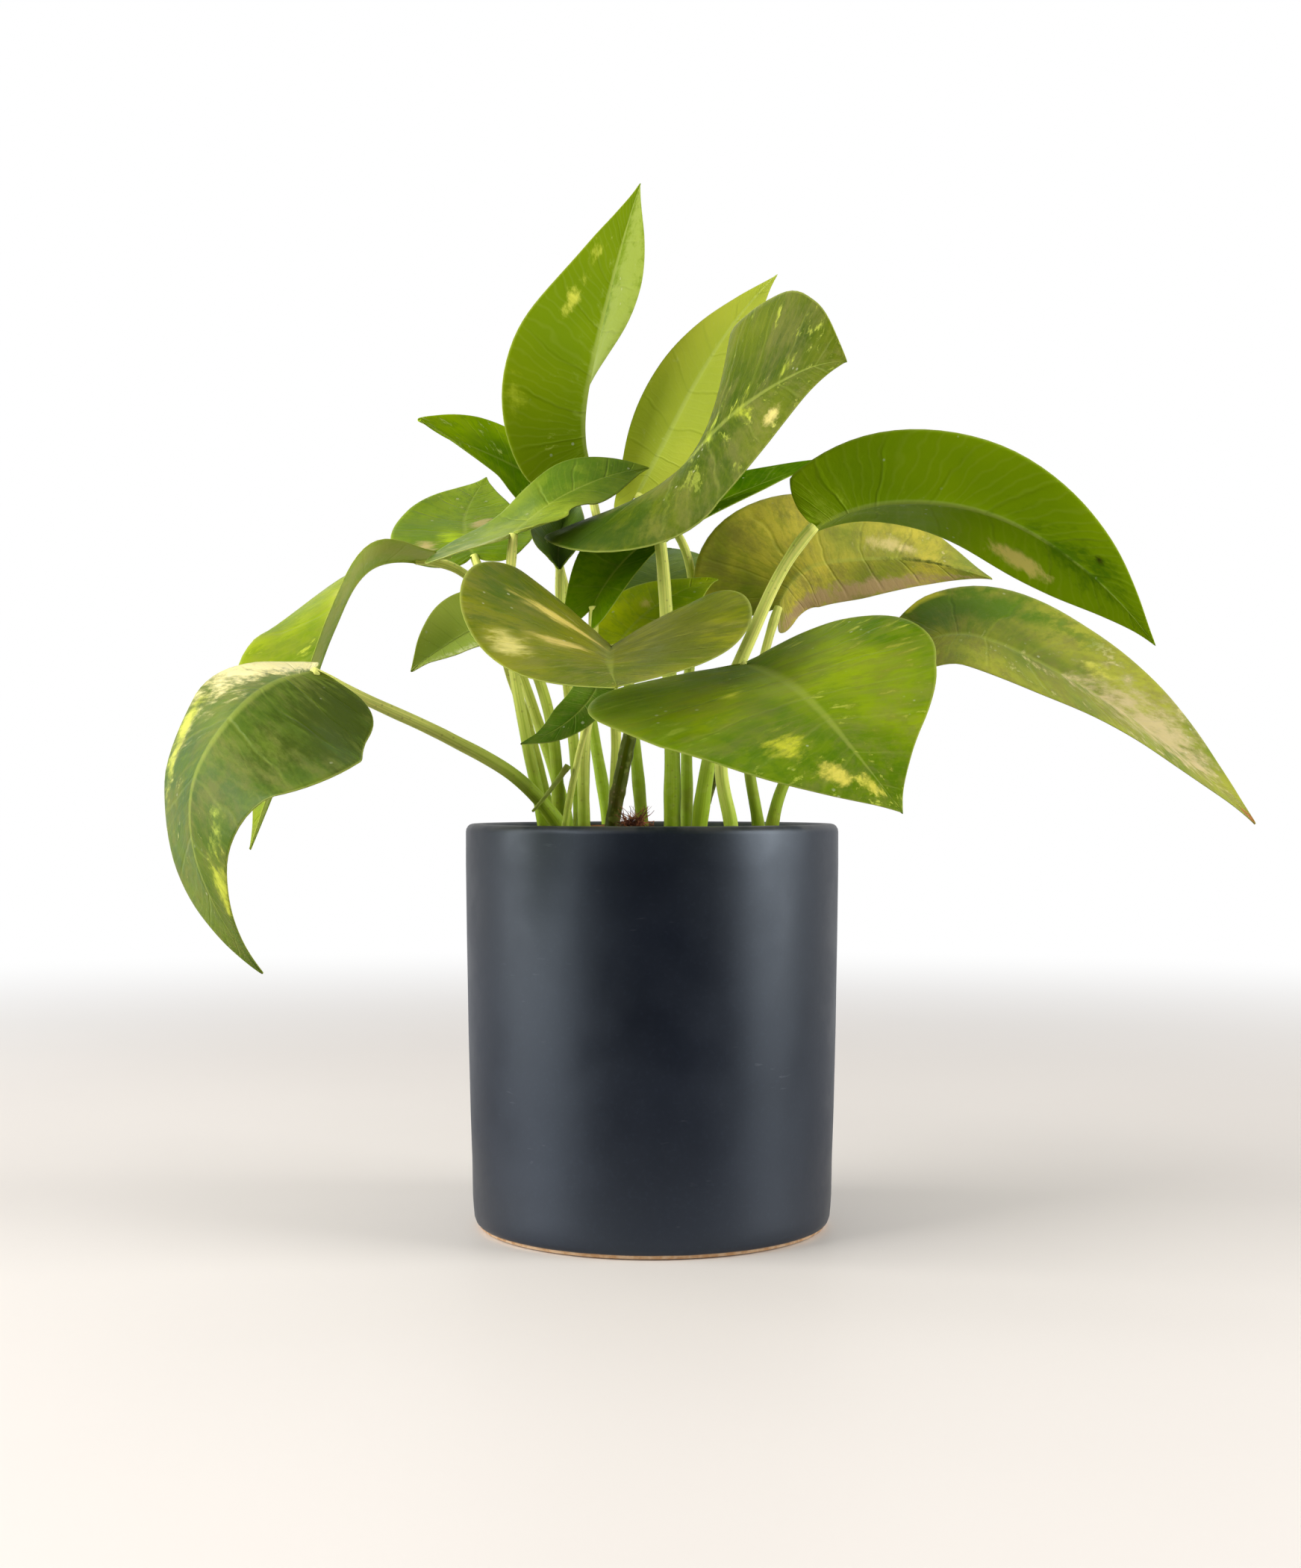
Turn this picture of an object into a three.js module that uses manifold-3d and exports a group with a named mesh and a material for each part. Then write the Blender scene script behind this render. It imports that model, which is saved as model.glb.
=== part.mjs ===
// A potted pothos: a matte glazed pot, potting soil, and a clump of heart-shaped leaves on long stalks.
// Millimetres, +Z up. The origin is the centre of the pot's flat underside and -Y is the front.
import * as THREE from "three";
import { mergeVertices } from "three/addons/utils/BufferGeometryUtils.js";
import Module from "manifold-3d";

const wasm = await Module();
wasm.setup();

// Pot
const POT_HEIGHT = 120;
const RIM_RADIUS = 56;
const BELLY_RADIUS = 55.2;
const LOW_RADIUS = 53.6;
const FOOT_RADIUS = 51.4;
const POT_WALL = 4;
const POT_FLOOR = 5;
const POT_SIDES = 72;

// Soil
const SOIL_EDGE_Z = 112; // where the soil meets the wall, 8 mm below the rim
const SOIL_MOUND = 4; // how much higher it stands in the middle
const SOIL_RINGS = 6;
const SOIL_SIDES = 36;
const GAP = 0.3; // clear space between neighbouring pieces

// Leaves and stalks
const BLADE_THICKNESS = 0.9;
const BLADE_ROWS = 11; // steps from joint to tip
const BLADE_COLUMNS = 3; // steps from midrib to margin
const STALK_SIDES = 7;
const STALK_STEPS = 10;
const STALK_THICKNESS = 4.2;
const STALK_TAPER = 0.62; // thickness at the leaf, as a share of the thickness at the soil
const SHEATH_THICKNESS = 2;

const STALK_GREEN = 0xa8b84a;

// Margin of half a flat leaf. Each row: how far along the midrib its side vein starts,
// how far along it meets the margin, and how far out, as a share of the half width.
const MARGIN = [
  [0, 0, 0], [0.01, -0.05, 0.14], [0.02, -0.085, 0.36], [0.04, -0.055, 0.62],
  [0.08, 0.05, 0.86], [0.16, 0.2, 1], [0.28, 0.38, 0.97], [0.43, 0.56, 0.8],
  [0.59, 0.72, 0.56], [0.75, 0.85, 0.29], [0.89, 0.94, 0.1], [1, 1, 0],
];

// Each leaf: stalk from inside the soil up, midrib from joint to tip, which way the upper side
// looks along it, half width on the left and right, and how far each half folds up in degrees.
// Left and right are as seen on the upper side with the tip pointing up.
const LEAVES = {
  top_left: {
    stalk: [[-2, 18, 92], [-3, 19, 118], [-6, 23, 150], [-11, 36, 194], [-18, 43, 219]],
    rib: [[-21, 44, 236], [-22, 42, 250], [-19, 42, 269], [-11, 50, 305], [-4, 60, 331]],
    face: [[-0.35, 1, 0.1], [-0.3, 1, 0.3]],
    half: [[24, 28, 36, 44], [28, 27, 19, 14]], fold: [[72, 72, 50, 25], [0]], green: 0x86a51c,
  },
  top_back: {
    stalk: [[11, 27, 92], [11, 28, 118], [11, 34, 153], [12, 46, 204]],
    rib: [[-5, 54, 227], [4, 56, 245], [16, 60, 268], [29, 64, 288], [42, 68, 303]],
    face: [[-0.3, 1, 0.2], [-0.3, 1, 0.3]],
    half: [[22], [11, 16, 19, 16]], fold: [[10], [50]], green: 0xa9b845,
  },
  top_right: {
    stalk: [[6, -4, 92], [6, -4, 118], [6, -4, 143], [4, 2, 188], [2, 12, 210]],
    rib: [[-1, 26, 222], [9, 2, 228], [24, -20, 240], [42, -40, 248], [54, -50, 249]],
    face: [[-0.3, -0.25, 1], [-0.55, -0.6, 0.5], [-0.5, -0.75, 0.4]],
    half: [[44, 46, 56, 110], [46, 42, 34]], fold: [[0], [0]], thick: 5.4, green: 0x6c8a2c,
  },
  under_top: {
    stalk: [[-21, 4, 92], [-21, 4, 118], [-20, 4, 152], [-18, 5, 175]],
    rib: [[-18, 6, 186], [-7, 20, 203], [12, 38, 218], [36, 50, 230], [60, 58, 240]],
    face: [[0, -0.5, 0.85], [0, -0.55, 0.8]],
    half: [[12, 20, 24, 26], [10, 14]], fold: [[0], [20]], green: 0x5c7a1c,
  },
  left_high: {
    stalk: [[-14, 34, 92], [-14, 34, 118], [-18, 38, 144], [-27, 52, 190]],
    rib: [[-40, 66, 235], [-49, 60, 239], [-58, 52, 242], [-66, 42, 244], [-73, 28, 247]],
    face: [[0, -0.7, 0.7], [0, -0.7, 0.7]],
    half: [[22], [24]], fold: [[0], [0]], green: 0x76962a,
  },
  left_edge: {
    stalk: [[-32, -9, 92], [-32, -9, 118], [-37, -9, 143], [-42, -8, 174]],
    rib: [[-41, -12, 206], [-39, 4, 211], [-29, 14, 220], [-14, 22, 228], [-1, 30, 232]],
    face: [[-0.35, 0.1, 1], [-0.1, -0.1, 1], [-0.3, -0.8, 0.6], [0, -0.9, 0.5]],
    half: [[34, 20, 24, 28], [16]], fold: [[0], [0]], green: 0x7d9560,
  },
  left_back: {
    stalk: [[-26, 18, 92], [-26, 18, 118], [-38, 24, 158], [-52, 32, 193]],
    rib: [[-57, 36, 205], [-61, 50, 214], [-62, 66, 223], [-57, 88, 238]],
    face: [[0, -0.8, 1], [0, -0.8, 1]],
    half: [[24], [22]], fold: [[0], [0]], green: 0x7d9826,
  },
  left_arching: {
    stalk: [[-28, 2, 92], [-28, 2, 118], [-31, 3, 152], [-41, 12, 177], [-58, 16, 197]],
    rib: [[-73, 14, 201], [-87, 6, 197], [-95, -8, 178], [-103, -21, 149], [-116, -28, 113]],
    face: [[-0.2, -0.8, 0.6], [-0.6, -0.8, 0.2]],
    half: [[16], [20, 34, 26]], fold: [[60], [-45, 0, 0]], green: 0x7c9c1c,
  },
  left_hanging: {
    stalk: [[-21, -22, 92], [-23, -22, 112], [-37, -30, 132], [-58, -40, 145], [-81, -54, 156]],
    rib: [[-92, -64, 162], [-107, -76, 154], [-120, -82, 133], [-119, -80, 109], [-104, -72, 81]],
    face: [[-0.1, -0.5, 1], [-0.86, -0.5, 0.25], [-0.8, -0.6, 0]],
    half: [[38, 42, 24, 18], [34]], fold: [[-25, -15, 0], [-8, -3, 0]], thick: 4.8,
    green: 0x64803a,
  },
  front_centre: {
    stalk: [[-20, -15, 92], [-20, -15, 118], [-20, -16, 143], [-16, -14, 162]],
    rib: [[-12, -18, 172], [-12, -44, 167], [-11, -72, 162], [-9, -100, 156]],
    face: [[0, -0.3, 1], [0, -0.3, 1]],
    half: [[42], [46]], fold: [[30, 17, 5, 0], [40, 25, 5, -10]], green: 0x5d7636,
  },
  centre_back: {
    stalk: [[-12, 7, 92], [-12, 7, 118], [-11, 10, 143], [-12, 14, 162]],
    rib: [[-11, 16, 175], [-1, 20, 186], [10, 26, 193], [21, 32, 197]],
    face: [[0, -0.6, 1], [0, -0.6, 1]],
    half: [[16], [14]], fold: [[0], [0]], green: 0x68842a,
  },
  front_right: {
    stalk: [[24, -28, 92], [23, -28, 118], [20, -26, 136], [22, -26, 156]],
    rib: [[27, -32, 166], [37, -54, 160], [45, -72, 151], [54, -88, 138], [64, -96, 124]],
    face: [[0, -0.5, 0.9], [0, -0.6, 0.8]],
    half: [[42], [56]], fold: [[12], [0]], thick: 4.8, green: 0x71902a,
  },
  right_high: {
    stalk: [[14, -6, 92], [14, -6, 118], [20, -8, 152], [30, -10, 177], [39, -12, 196]],
    rib: [[48, -14, 208], [71, -14, 215], [101, -10, 212], [129, -4, 197], [153, 4, 174]],
    face: [[0, 0.8, 0.5], [0.3, 1, 0.3]],
    half: [[25], [22, 21]], fold: [[60, 50, 20, 0], [0]], lobe: [0.4, 0.2], thick: 5.2,
    green: 0x6f9012,
  },
  right_back: {
    stalk: [[34, 16, 92], [33, 16, 118], [30, 18, 141], [34, 24, 167]],
    rib: [[40, 30, 188], [49, 32, 200], [69, 38, 204], [88, 44, 204], [111, 50, 199]],
    face: [[0, -0.7, 0.7], [0, -0.7, 0.7]],
    half: [[38], [14]], fold: [[0], [-70]], green: 0x8c8f55,
  },
  right_long: {
    stalk: [[35, 0, 92], [36, 0, 118], [42, 2, 136], [63, 6, 162]],
    rib: [[84, 10, 176], [99, 6, 177], [124, 2, 165], [151, -2, 147], [181, -4, 120]],
    face: [[0, -0.6, 0.8], [0.2, -0.6, 0.8]],
    half: [[32], [20]], fold: [[0], [0, 14, 8]], green: 0x8d9850,
  },
  left_small: {
    stalk: [[-30, 10, 92], [-31, 10, 118], [-38, 8, 150], [-43, 4, 165]],
    rib: [[-47, 0, 180], [-54, -2, 178], [-63, -8, 172], [-71, -16, 165]],
    face: [[0, 1, 0.2], [0, 1, 0.2]],
    half: [[12], [12]], fold: [[0], [-70]], green: 0x98ac3c,
  },
  back_small: {
    stalk: [[9, 39, 92], [8, 40, 118], [6, 46, 154]],
    rib: [[3, 54, 193], [2, 62, 200], [3, 76, 208], [7, 94, 214]],
    face: [[0, -0.5, 1], [0, -0.5, 1]],
    half: [[18], [18]], fold: [[10], [10]], green: 0x6c8c6a,
  },
  front_young: {
    stalk: [[-26, -33, 92], [-25, -33, 118], [-21, -32, 140], [-17, -33, 154]],
    rib: [[-15, -36, 161], [-19, -38, 154], [-27, -42, 147], [-37, -42, 143]],
    face: [[0, -1, 1], [0, -1, 1]],
    half: [[6], [7]], fold: [[0], [0]], thick: 2.6, green: 0x5f7f22,
  },
  centre_inner: {
    stalk: [[-22, 11, 92], [-22, 11, 118], [-25, 14, 153], [-28, 20, 178]],
    rib: [[-29, 24, 199], [-30, 38, 207], [-29, 54, 218], [-26, 70, 228]],
    face: [[0, -0.6, 1], [0, -0.6, 1]],
    half: [[13], [13]], fold: [[50], [50]], lobe: [0, 0], green: 0x52701c,
  },
};

// Older bare vine stems: points from inside the soil up to the cut or broken end.
const VINES = {
  vine_left: { path: [[-12, -7, 92], [-12, -7, 118], [-8, -6, 140], [-5, -5, 154]], thick: 4.6 },
  vine_right: { path: [[16, 8, 92], [14, 9, 118], [19, 9, 137], [21, 9, 150]], thick: 4.4 },
};

// A dry sheath left round the foot of the hanging leaf's stalk.
const SHEATH_PATH = [[-24, -33.3, 137], [-29, -35, 130], [-34, -35.5, 124]];

// Smooth curve through points: position and direction at share u of its length, and the length.
function curve(points, u) {
  const p = points.map((q) => new THREE.Vector3(...q));
  const knots = [0];
  for (let i = 1; i < p.length; i++) knots.push(knots[i - 1] + p[i].distanceTo(p[i - 1]));
  const length = knots[knots.length - 1];
  const k = knots.map((d) => d / length);
  const last = p.length - 1;
  const slope = (a, b) => p[b].clone().sub(p[a]).divideScalar(k[b] - k[a]);
  const m = p.map((q, i) => slope(Math.max(i - 1, 0), Math.min(i + 1, last)));
  if (last > 1) {
    m[0] = slope(0, 1).multiplyScalar(2).sub(m[1]);
    m[last] = slope(last - 1, last).multiplyScalar(2).sub(m[last - 1]);
  }
  let i = 0;
  while (i < last - 1 && k[i + 1] <= u) i++;
  const h = k[i + 1] - k[i], t = (u - k[i]) / h, t2 = t * t, t3 = t2 * t;
  const sum = (a, b, c, d) => p[i].clone().multiplyScalar(a).addScaledVector(m[i], b * h)
    .addScaledVector(p[i + 1], c).addScaledVector(m[i + 1], d * h);
  return {
    at: sum(2 * t3 - 3 * t2 + 1, t3 - 2 * t2 + t, 3 * t2 - 2 * t3, t3 - t2),
    along: sum(6 * t2 - 6 * t, 3 * t2 - 4 * t + 1, 6 * t - 6 * t2, 3 * t2 - 2 * t).normalize(),
    length,
  };
}

// Value of evenly spaced rows (numbers or lists of numbers) at share x, smoothly blended.
function blend(rows, x) {
  if (rows.length === 1) return rows[0];
  const place = x * (rows.length - 1);
  const i = Math.min(Math.floor(place), rows.length - 2), t = place - i;
  const row = (j) => rows[Math.min(Math.max(j, 0), rows.length - 1)];
  const mix = (a, b, c, d) => 0.5 * (2 * b + (c - a) * t + (2 * a - 5 * b + 4 * c - d) * t * t
    + (3 * b - a - 3 * c + d) * t * t * t);
  const q = [row(i - 1), row(i), row(i + 1), row(i + 2)];
  return Array.isArray(q[1]) ? q[1].map((_, n) => mix(q[0][n], q[1][n], q[2][n], q[3][n])) : mix(...q);
}

const clamp = (x) => Math.min(Math.max(x, 0), 1);

// Midrib point and the leaf's own directions at share a of the midrib; a < 0 is behind the joint.
function ribFrame(leaf, a) {
  const { at, along, length } = curve(leaf.rib, clamp(a));
  at.addScaledVector(along, (a - clamp(a)) * length);
  const up = new THREE.Vector3(...blend(leaf.face, clamp(a)));
  up.addScaledVector(along, -up.dot(along)).normalize();
  return { at, up, right: new THREE.Vector3().crossVectors(along, up) };
}

// Point of a blade: s picks the side vein, v runs from midrib to margin, side is -1 or 1.
function bladePoint(leaf, s, v, side) {
  const k = side < 0 ? 0 : 1;
  const [start, end, out] = blend(MARGIN, s);
  const reach = end < 0 && leaf.lobe ? end * leaf.lobe[k] : end;
  const a = start * (1 - v) + reach * v;
  const fold = THREE.MathUtils.degToRad(blend(leaf.fold[k], clamp(a)));
  const across = out * v * blend(leaf.half[k], clamp(a));
  const { at, up, right } = ribFrame(leaf, a);
  return at.addScaledVector(right, side * across * Math.cos(fold))
    .addScaledVector(up, across * Math.sin(fold));
}

// A geometry from a flat list of points and a list of triangles.
function geometryOf(points, triangles) {
  const g = new THREE.BufferGeometry();
  g.setAttribute("position", new THREE.Float32BufferAttribute(points.flatMap((p) => p.toArray()), 3));
  g.setIndex(triangles);
  g.computeVertexNormals();
  return g;
}

// Middle surface of a blade: joint, rows of points from left margin to right margin, tip.
function bladeSheet(leaf) {
  const points = [bladePoint(leaf, 0, 0, 1)];
  const wide = 2 * BLADE_COLUMNS + 1;
  for (let r = 1; r < BLADE_ROWS; r++)
    for (let c = -BLADE_COLUMNS; c <= BLADE_COLUMNS; c++)
      points.push(bladePoint(leaf, r / BLADE_ROWS, Math.abs(c) / BLADE_COLUMNS, c < 0 ? -1 : 1));
  points.push(bladePoint(leaf, 1, 0, 1));
  const cell = (r, c) => 1 + (r - 1) * wide + c, tip = points.length - 1;
  const triangles = [];
  for (let c = 0; c < wide - 1; c++) {
    triangles.push(0, cell(1, c + 1), cell(1, c));
    triangles.push(tip, cell(BLADE_ROWS - 1, c), cell(BLADE_ROWS - 1, c + 1));
    for (let r = 1; r < BLADE_ROWS - 1; r++) {
      triangles.push(cell(r, c), cell(r, c + 1), cell(r + 1, c + 1));
      triangles.push(cell(r, c), cell(r + 1, c + 1), cell(r + 1, c));
    }
  }
  const left = [], right = [];
  for (let r = 1; r < BLADE_ROWS; r++) {
    left.push(cell(r, 0));
    right.unshift(cell(r, wide - 1));
  }
  return { points, triangles, edge: [0, ...left, tip, ...right] };
}

// A closed blade of even thickness round its middle surface.
function bladeGeometry(leaf, thickness) {
  const { points, triangles, edge } = bladeSheet(leaf);
  const normal = geometryOf(points, triangles).attributes.normal;
  const n = points.length;
  const shift = (sign) => points.map((p, i) => p.clone().addScaledVector(
    new THREE.Vector3().fromBufferAttribute(normal, i), sign * thickness / 2));
  const all = [...triangles];
  for (let i = 0; i < triangles.length; i += 3)
    all.push(triangles[i] + n, triangles[i + 2] + n, triangles[i + 1] + n);
  edge.forEach((a, i) => {
    const b = edge[(i + 1) % edge.length];
    all.push(a, b, a + n, b, b + n, a + n);
  });
  return geometryOf([...shift(1), ...shift(-1)], all);
}

// A closed tapering tube along a path; grow adds clear space all round and at both ends.
function tubeGeometry(path, thick, taper, grow = 0, stop = 1) {
  const points = [], triangles = [];
  let side = null;
  for (let i = 0; i <= STALK_STEPS; i++) {
    const u = stop * i / STALK_STEPS;
    const { at, along } = curve(path, u);
    side = (side || new THREE.Vector3(1, 0, 0)).addScaledVector(along, -along.dot(side || along));
    if (i === 0) side = new THREE.Vector3(1, 0, 0).addScaledVector(along, -along.x);
    side.normalize();
    const front = new THREE.Vector3().crossVectors(along, side);
    const radius = thick / 2 * (1 + (taper - 1) * u) + grow;
    for (let j = 0; j < STALK_SIDES; j++) {
      const turn = 2 * Math.PI * j / STALK_SIDES;
      points.push(at.clone().addScaledVector(side, radius * Math.cos(turn))
        .addScaledVector(front, radius * Math.sin(turn)));
    }
  }
  const ring = (i, j) => i * STALK_SIDES + (j % STALK_SIDES);
  for (let i = 0; i < STALK_STEPS; i++)
    for (let j = 0; j < STALK_SIDES; j++) {
      triangles.push(ring(i, j), ring(i, j + 1), ring(i + 1, j + 1));
      triangles.push(ring(i, j), ring(i + 1, j + 1), ring(i + 1, j));
    }
  for (let j = 1; j < STALK_SIDES - 1; j++) {
    triangles.push(ring(0, 0), ring(0, j + 1), ring(0, j));
    triangles.push(ring(STALK_STEPS, 0), ring(STALK_STEPS, j), ring(STALK_STEPS, j + 1));
  }
  return geometryOf(points, triangles);
}

// A revolved shape from [radius, height] pairs that start and end on the axis.
function latheGeometry(profile, sides) {
  const g = new THREE.LatheGeometry(profile.map(([r, z]) => new THREE.Vector2(r, z)), sides);
  return g.rotateX(Math.PI / 2);
}

function potGeometry() {
  const inner = (r) => r - POT_WALL;
  return latheGeometry([
    [0, 0], [FOOT_RADIUS, 0], [FOOT_RADIUS + 1.3, 0.9], [LOW_RADIUS - 0.2, 3], [LOW_RADIUS + 0.3, 9],
    [BELLY_RADIUS - 0.6, 34], [BELLY_RADIUS, 58], [BELLY_RADIUS + 0.5, 86], [RIM_RADIUS, 108],
    [RIM_RADIUS, POT_HEIGHT - 2.4], [RIM_RADIUS - 0.6, POT_HEIGHT - 0.7],
    [RIM_RADIUS - 1.9, POT_HEIGHT], [RIM_RADIUS - 3.3, POT_HEIGHT - 0.5],
    [inner(RIM_RADIUS), POT_HEIGHT - 2], [inner(BELLY_RADIUS), 58], [inner(LOW_RADIUS), 12],
    [inner(LOW_RADIUS) - 2, POT_FLOOR + 1.2], [inner(LOW_RADIUS) - 6, POT_FLOOR], [0, POT_FLOOR],
  ], POT_SIDES);
}

// Height of the soil at a point: a low mound with lumps.
function soilHeight(x, y) {
  const share = Math.hypot(x, y) / RIM_RADIUS;
  const lumps = Math.sin(x * 0.23 + 1) * Math.cos(y * 0.19) + 0.6 * Math.sin(x * 0.41 - y * 0.37);
  return SOIL_EDGE_Z + SOIL_MOUND * (1 - share * share) + 0.7 * lumps * (1 - share * share * share);
}

function soilGeometry() {
  const bottom = POT_FLOOR + GAP;
  const wall = (z) => {
    const t = (z - 12) / (58 - 12);
    const r = z < 58 ? LOW_RADIUS + (BELLY_RADIUS - LOW_RADIUS) * t
      : BELLY_RADIUS + (RIM_RADIUS - BELLY_RADIUS) * (z - 58) / (POT_HEIGHT - 2 - 58);
    return (r - POT_WALL - GAP) * Math.cos(Math.PI / POT_SIDES);
  };
  const levels = [[wall(14) - 7, bottom], [wall(14) - 2.6, bottom + 1.4], [wall(14), 14], [wall(58), 58]];
  const points = [new THREE.Vector3(0, 0, bottom)], triangles = [];
  const ringOf = (radius, height) => {
    for (let j = 0; j < SOIL_SIDES; j++) {
      const turn = 2 * Math.PI * j / SOIL_SIDES;
      const x = radius * Math.cos(turn), y = radius * Math.sin(turn);
      points.push(new THREE.Vector3(x, y, height === null ? soilHeight(x, y) : height));
    }
  };
  levels.forEach(([r, z]) => ringOf(r, z));
  for (let i = SOIL_RINGS; i > 0; i--) ringOf(wall(SOIL_EDGE_Z) * i / SOIL_RINGS, null);
  points.push(new THREE.Vector3(0, 0, soilHeight(0, 0)));
  const rings = levels.length + SOIL_RINGS, top = points.length - 1;
  const at = (i, j) => 1 + i * SOIL_SIDES + (j % SOIL_SIDES);
  for (let j = 0; j < SOIL_SIDES; j++) {
    triangles.push(0, at(0, j + 1), at(0, j), top, at(rings - 1, j), at(rings - 1, j + 1));
    for (let i = 0; i < rings - 1; i++)
      triangles.push(at(i, j), at(i, j + 1), at(i + 1, j + 1), at(i, j), at(i + 1, j + 1), at(i + 1, j));
  }
  return geometryOf(points, triangles);
}

// A lump of loose material: a ball pushed in and out, stretched to size and set in place.
function lumpGeometry(size, place, turn, roughness, detail) {
  const g = mergeVertices(new THREE.IcosahedronGeometry(1, detail).deleteAttribute("normal")
    .deleteAttribute("uv"), 1e-4);
  const p = g.attributes.position;
  for (let i = 0; i < p.count; i++) {
    const v = new THREE.Vector3().fromBufferAttribute(p, i);
    v.multiplyScalar(1 + roughness * Math.sin(i * 2.4 + 1) * Math.cos(i * 5.7));
    p.setXYZ(i, v.x * size[0] / 2, v.y * size[1] / 2, v.z * size[2] / 2);
  }
  return g.rotateX(turn[0]).rotateY(turn[1]).rotateZ(turn[2]).translate(...place);
}

// Solids for cutting one piece clear of another.
function solidOf(geometry) {
  const plain = new THREE.BufferGeometry();
  plain.setAttribute("position", geometry.attributes.position);
  if (geometry.index) plain.setIndex(geometry.index);
  const g = mergeVertices(plain, 1e-4);
  const vertProperties = new Float32Array(g.attributes.position.array);
  const triVerts = new Uint32Array(g.index.array);
  return new wasm.Manifold(new wasm.Mesh({ numProp: 3, vertProperties, triVerts }));
}

function geometryFrom(solid) {
  const mesh = solid.getMesh();
  const g = new THREE.BufferGeometry();
  g.setAttribute("position", new THREE.BufferAttribute(new Float32Array(mesh.vertProperties), 3));
  g.setIndex(new THREE.BufferAttribute(new Uint32Array(mesh.triVerts), 1));
  return g;
}

// The geometry with the others cut away, keeping its biggest body.
function cutClear(geometry, others) {
  const cut = others.reduce((solid, other) => solid.subtract(solidOf(other)), solidOf(geometry));
  const bodies = cut.decompose().sort((a, b) => b.volume() - a.volume());
  return geometryFrom(bodies[0]);
}

// Copies of a geometry moved a little each way, to cut clear space round its edges too.
function nudged(geometry, by) {
  const steps = [-by, 0, by];
  return steps.flatMap((x) => steps.flatMap((y) => steps.map((z) => geometry.clone().translate(x, y, z))));
}

// A path whose lower end is sunk by the clear space.
function sunk(path) {
  const [[x, y, z], ...rest] = path;
  return [[x, y, z - GAP], ...rest];
}

const material = (name, color, roughness) =>
  Object.assign(new THREE.MeshStandardMaterial({ color, roughness }), { name });

const glaze = material("slate_glaze", 0x2e323c, 0.5);
const earth = material("potting_soil", 0x33241a, 0.95);
const bark = material("bark", 0x6a4a30, 0.9);
const coir = material("coir_fibre", 0x4a2c1a, 0.95);
const oldStem = material("old_stem", 0x4b5626, 0.7);
const dryStem = material("dry_sheath", 0x8c8a3c, 0.8);
const stalkGreen = material("leaf_stalk", STALK_GREEN, 0.5);

const group = new THREE.Group();
function add(name, geometry, skin) {
  const mesh = new THREE.Mesh(geometry, skin);
  mesh.name = name;
  group.add(mesh);
  return mesh;
}

function stalkPath(leaf) {
  return [...leaf.stalk, leaf.rib[0]];
}

function addLeaves() {
  for (const [name, leaf] of Object.entries(LEAVES)) {
    const thick = leaf.thick || STALK_THICKNESS;
    const stalk = tubeGeometry(stalkPath(leaf), thick, STALK_TAPER, 0, 0.985);
    const clear = nudged(bladeGeometry(leaf, BLADE_THICKNESS), 2 * GAP);
    add("leaf_" + name, bladeGeometry(leaf, BLADE_THICKNESS), material("leaf_" + name, leaf.green, 0.45));
    add("stalk_" + name, cutClear(stalk, clear), stalkGreen);
  }
  for (const [name, vine] of Object.entries(VINES))
    add(name, tubeGeometry(vine.path, vine.thick, 0.9), oldStem);
  add("dry_sheath", tubeGeometry(SHEATH_PATH, SHEATH_THICKNESS, 0.5), dryStem);
}

function addSoil() {
  const holes = Object.values(LEAVES).map((leaf) =>
    tubeGeometry(sunk(stalkPath(leaf)), leaf.thick || STALK_THICKNESS, STALK_TAPER, GAP, 0.985));
  for (const vine of Object.values(VINES))
    holes.push(tubeGeometry(sunk(vine.path), vine.thick, 0.9, GAP));
  const chip = lumpGeometry([10, 5, 5.4], [-15.5, 0, 117.4], [0.2, 0.25, 0.2], 0.1, 1);
  const tuft = lumpGeometry([8.6, 7, 9], [-5, -13, 119], [0, 0, 0.4], 0.18, 1);
  add("bark_chip", chip, bark);
  add("coir_tuft", tuft, coir);
  const cutters = [...holes, ...nudged(chip, GAP), ...nudged(tuft, GAP)];
  add("soil", cutClear(soilGeometry(), cutters), earth);
}

add("pot", potGeometry(), glaze);
addLeaves();
addSoil();

export default group;
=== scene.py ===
import math
import random

import bpy
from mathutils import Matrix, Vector, noise


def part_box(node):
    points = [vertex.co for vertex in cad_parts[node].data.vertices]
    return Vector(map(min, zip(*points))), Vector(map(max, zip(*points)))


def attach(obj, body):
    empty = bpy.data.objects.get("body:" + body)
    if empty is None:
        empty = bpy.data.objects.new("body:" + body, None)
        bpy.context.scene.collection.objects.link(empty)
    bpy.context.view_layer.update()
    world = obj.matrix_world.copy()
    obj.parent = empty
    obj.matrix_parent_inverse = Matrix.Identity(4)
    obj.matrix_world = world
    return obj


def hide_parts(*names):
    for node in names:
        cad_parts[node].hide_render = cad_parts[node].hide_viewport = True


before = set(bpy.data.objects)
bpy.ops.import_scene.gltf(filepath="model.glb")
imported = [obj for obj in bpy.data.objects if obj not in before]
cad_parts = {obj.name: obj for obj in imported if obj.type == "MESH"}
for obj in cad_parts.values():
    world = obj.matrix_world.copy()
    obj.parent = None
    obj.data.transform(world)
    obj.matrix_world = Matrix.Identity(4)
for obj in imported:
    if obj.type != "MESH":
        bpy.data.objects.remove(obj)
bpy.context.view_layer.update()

bl_info = {
    "name": "Potted Pothos",
    "version": (1, 0, 0),
    "blender": (4, 5, 0),
    "location": "View3D > Sidebar > Pothos",
    "description": "A trailing pothos in a matte slate pot, on a plain floor",
    "category": "Add Mesh",
}

MM = 0.001
BODY = "root"

# ---------------------------------------------------------------- plant data, in millimetres

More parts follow.
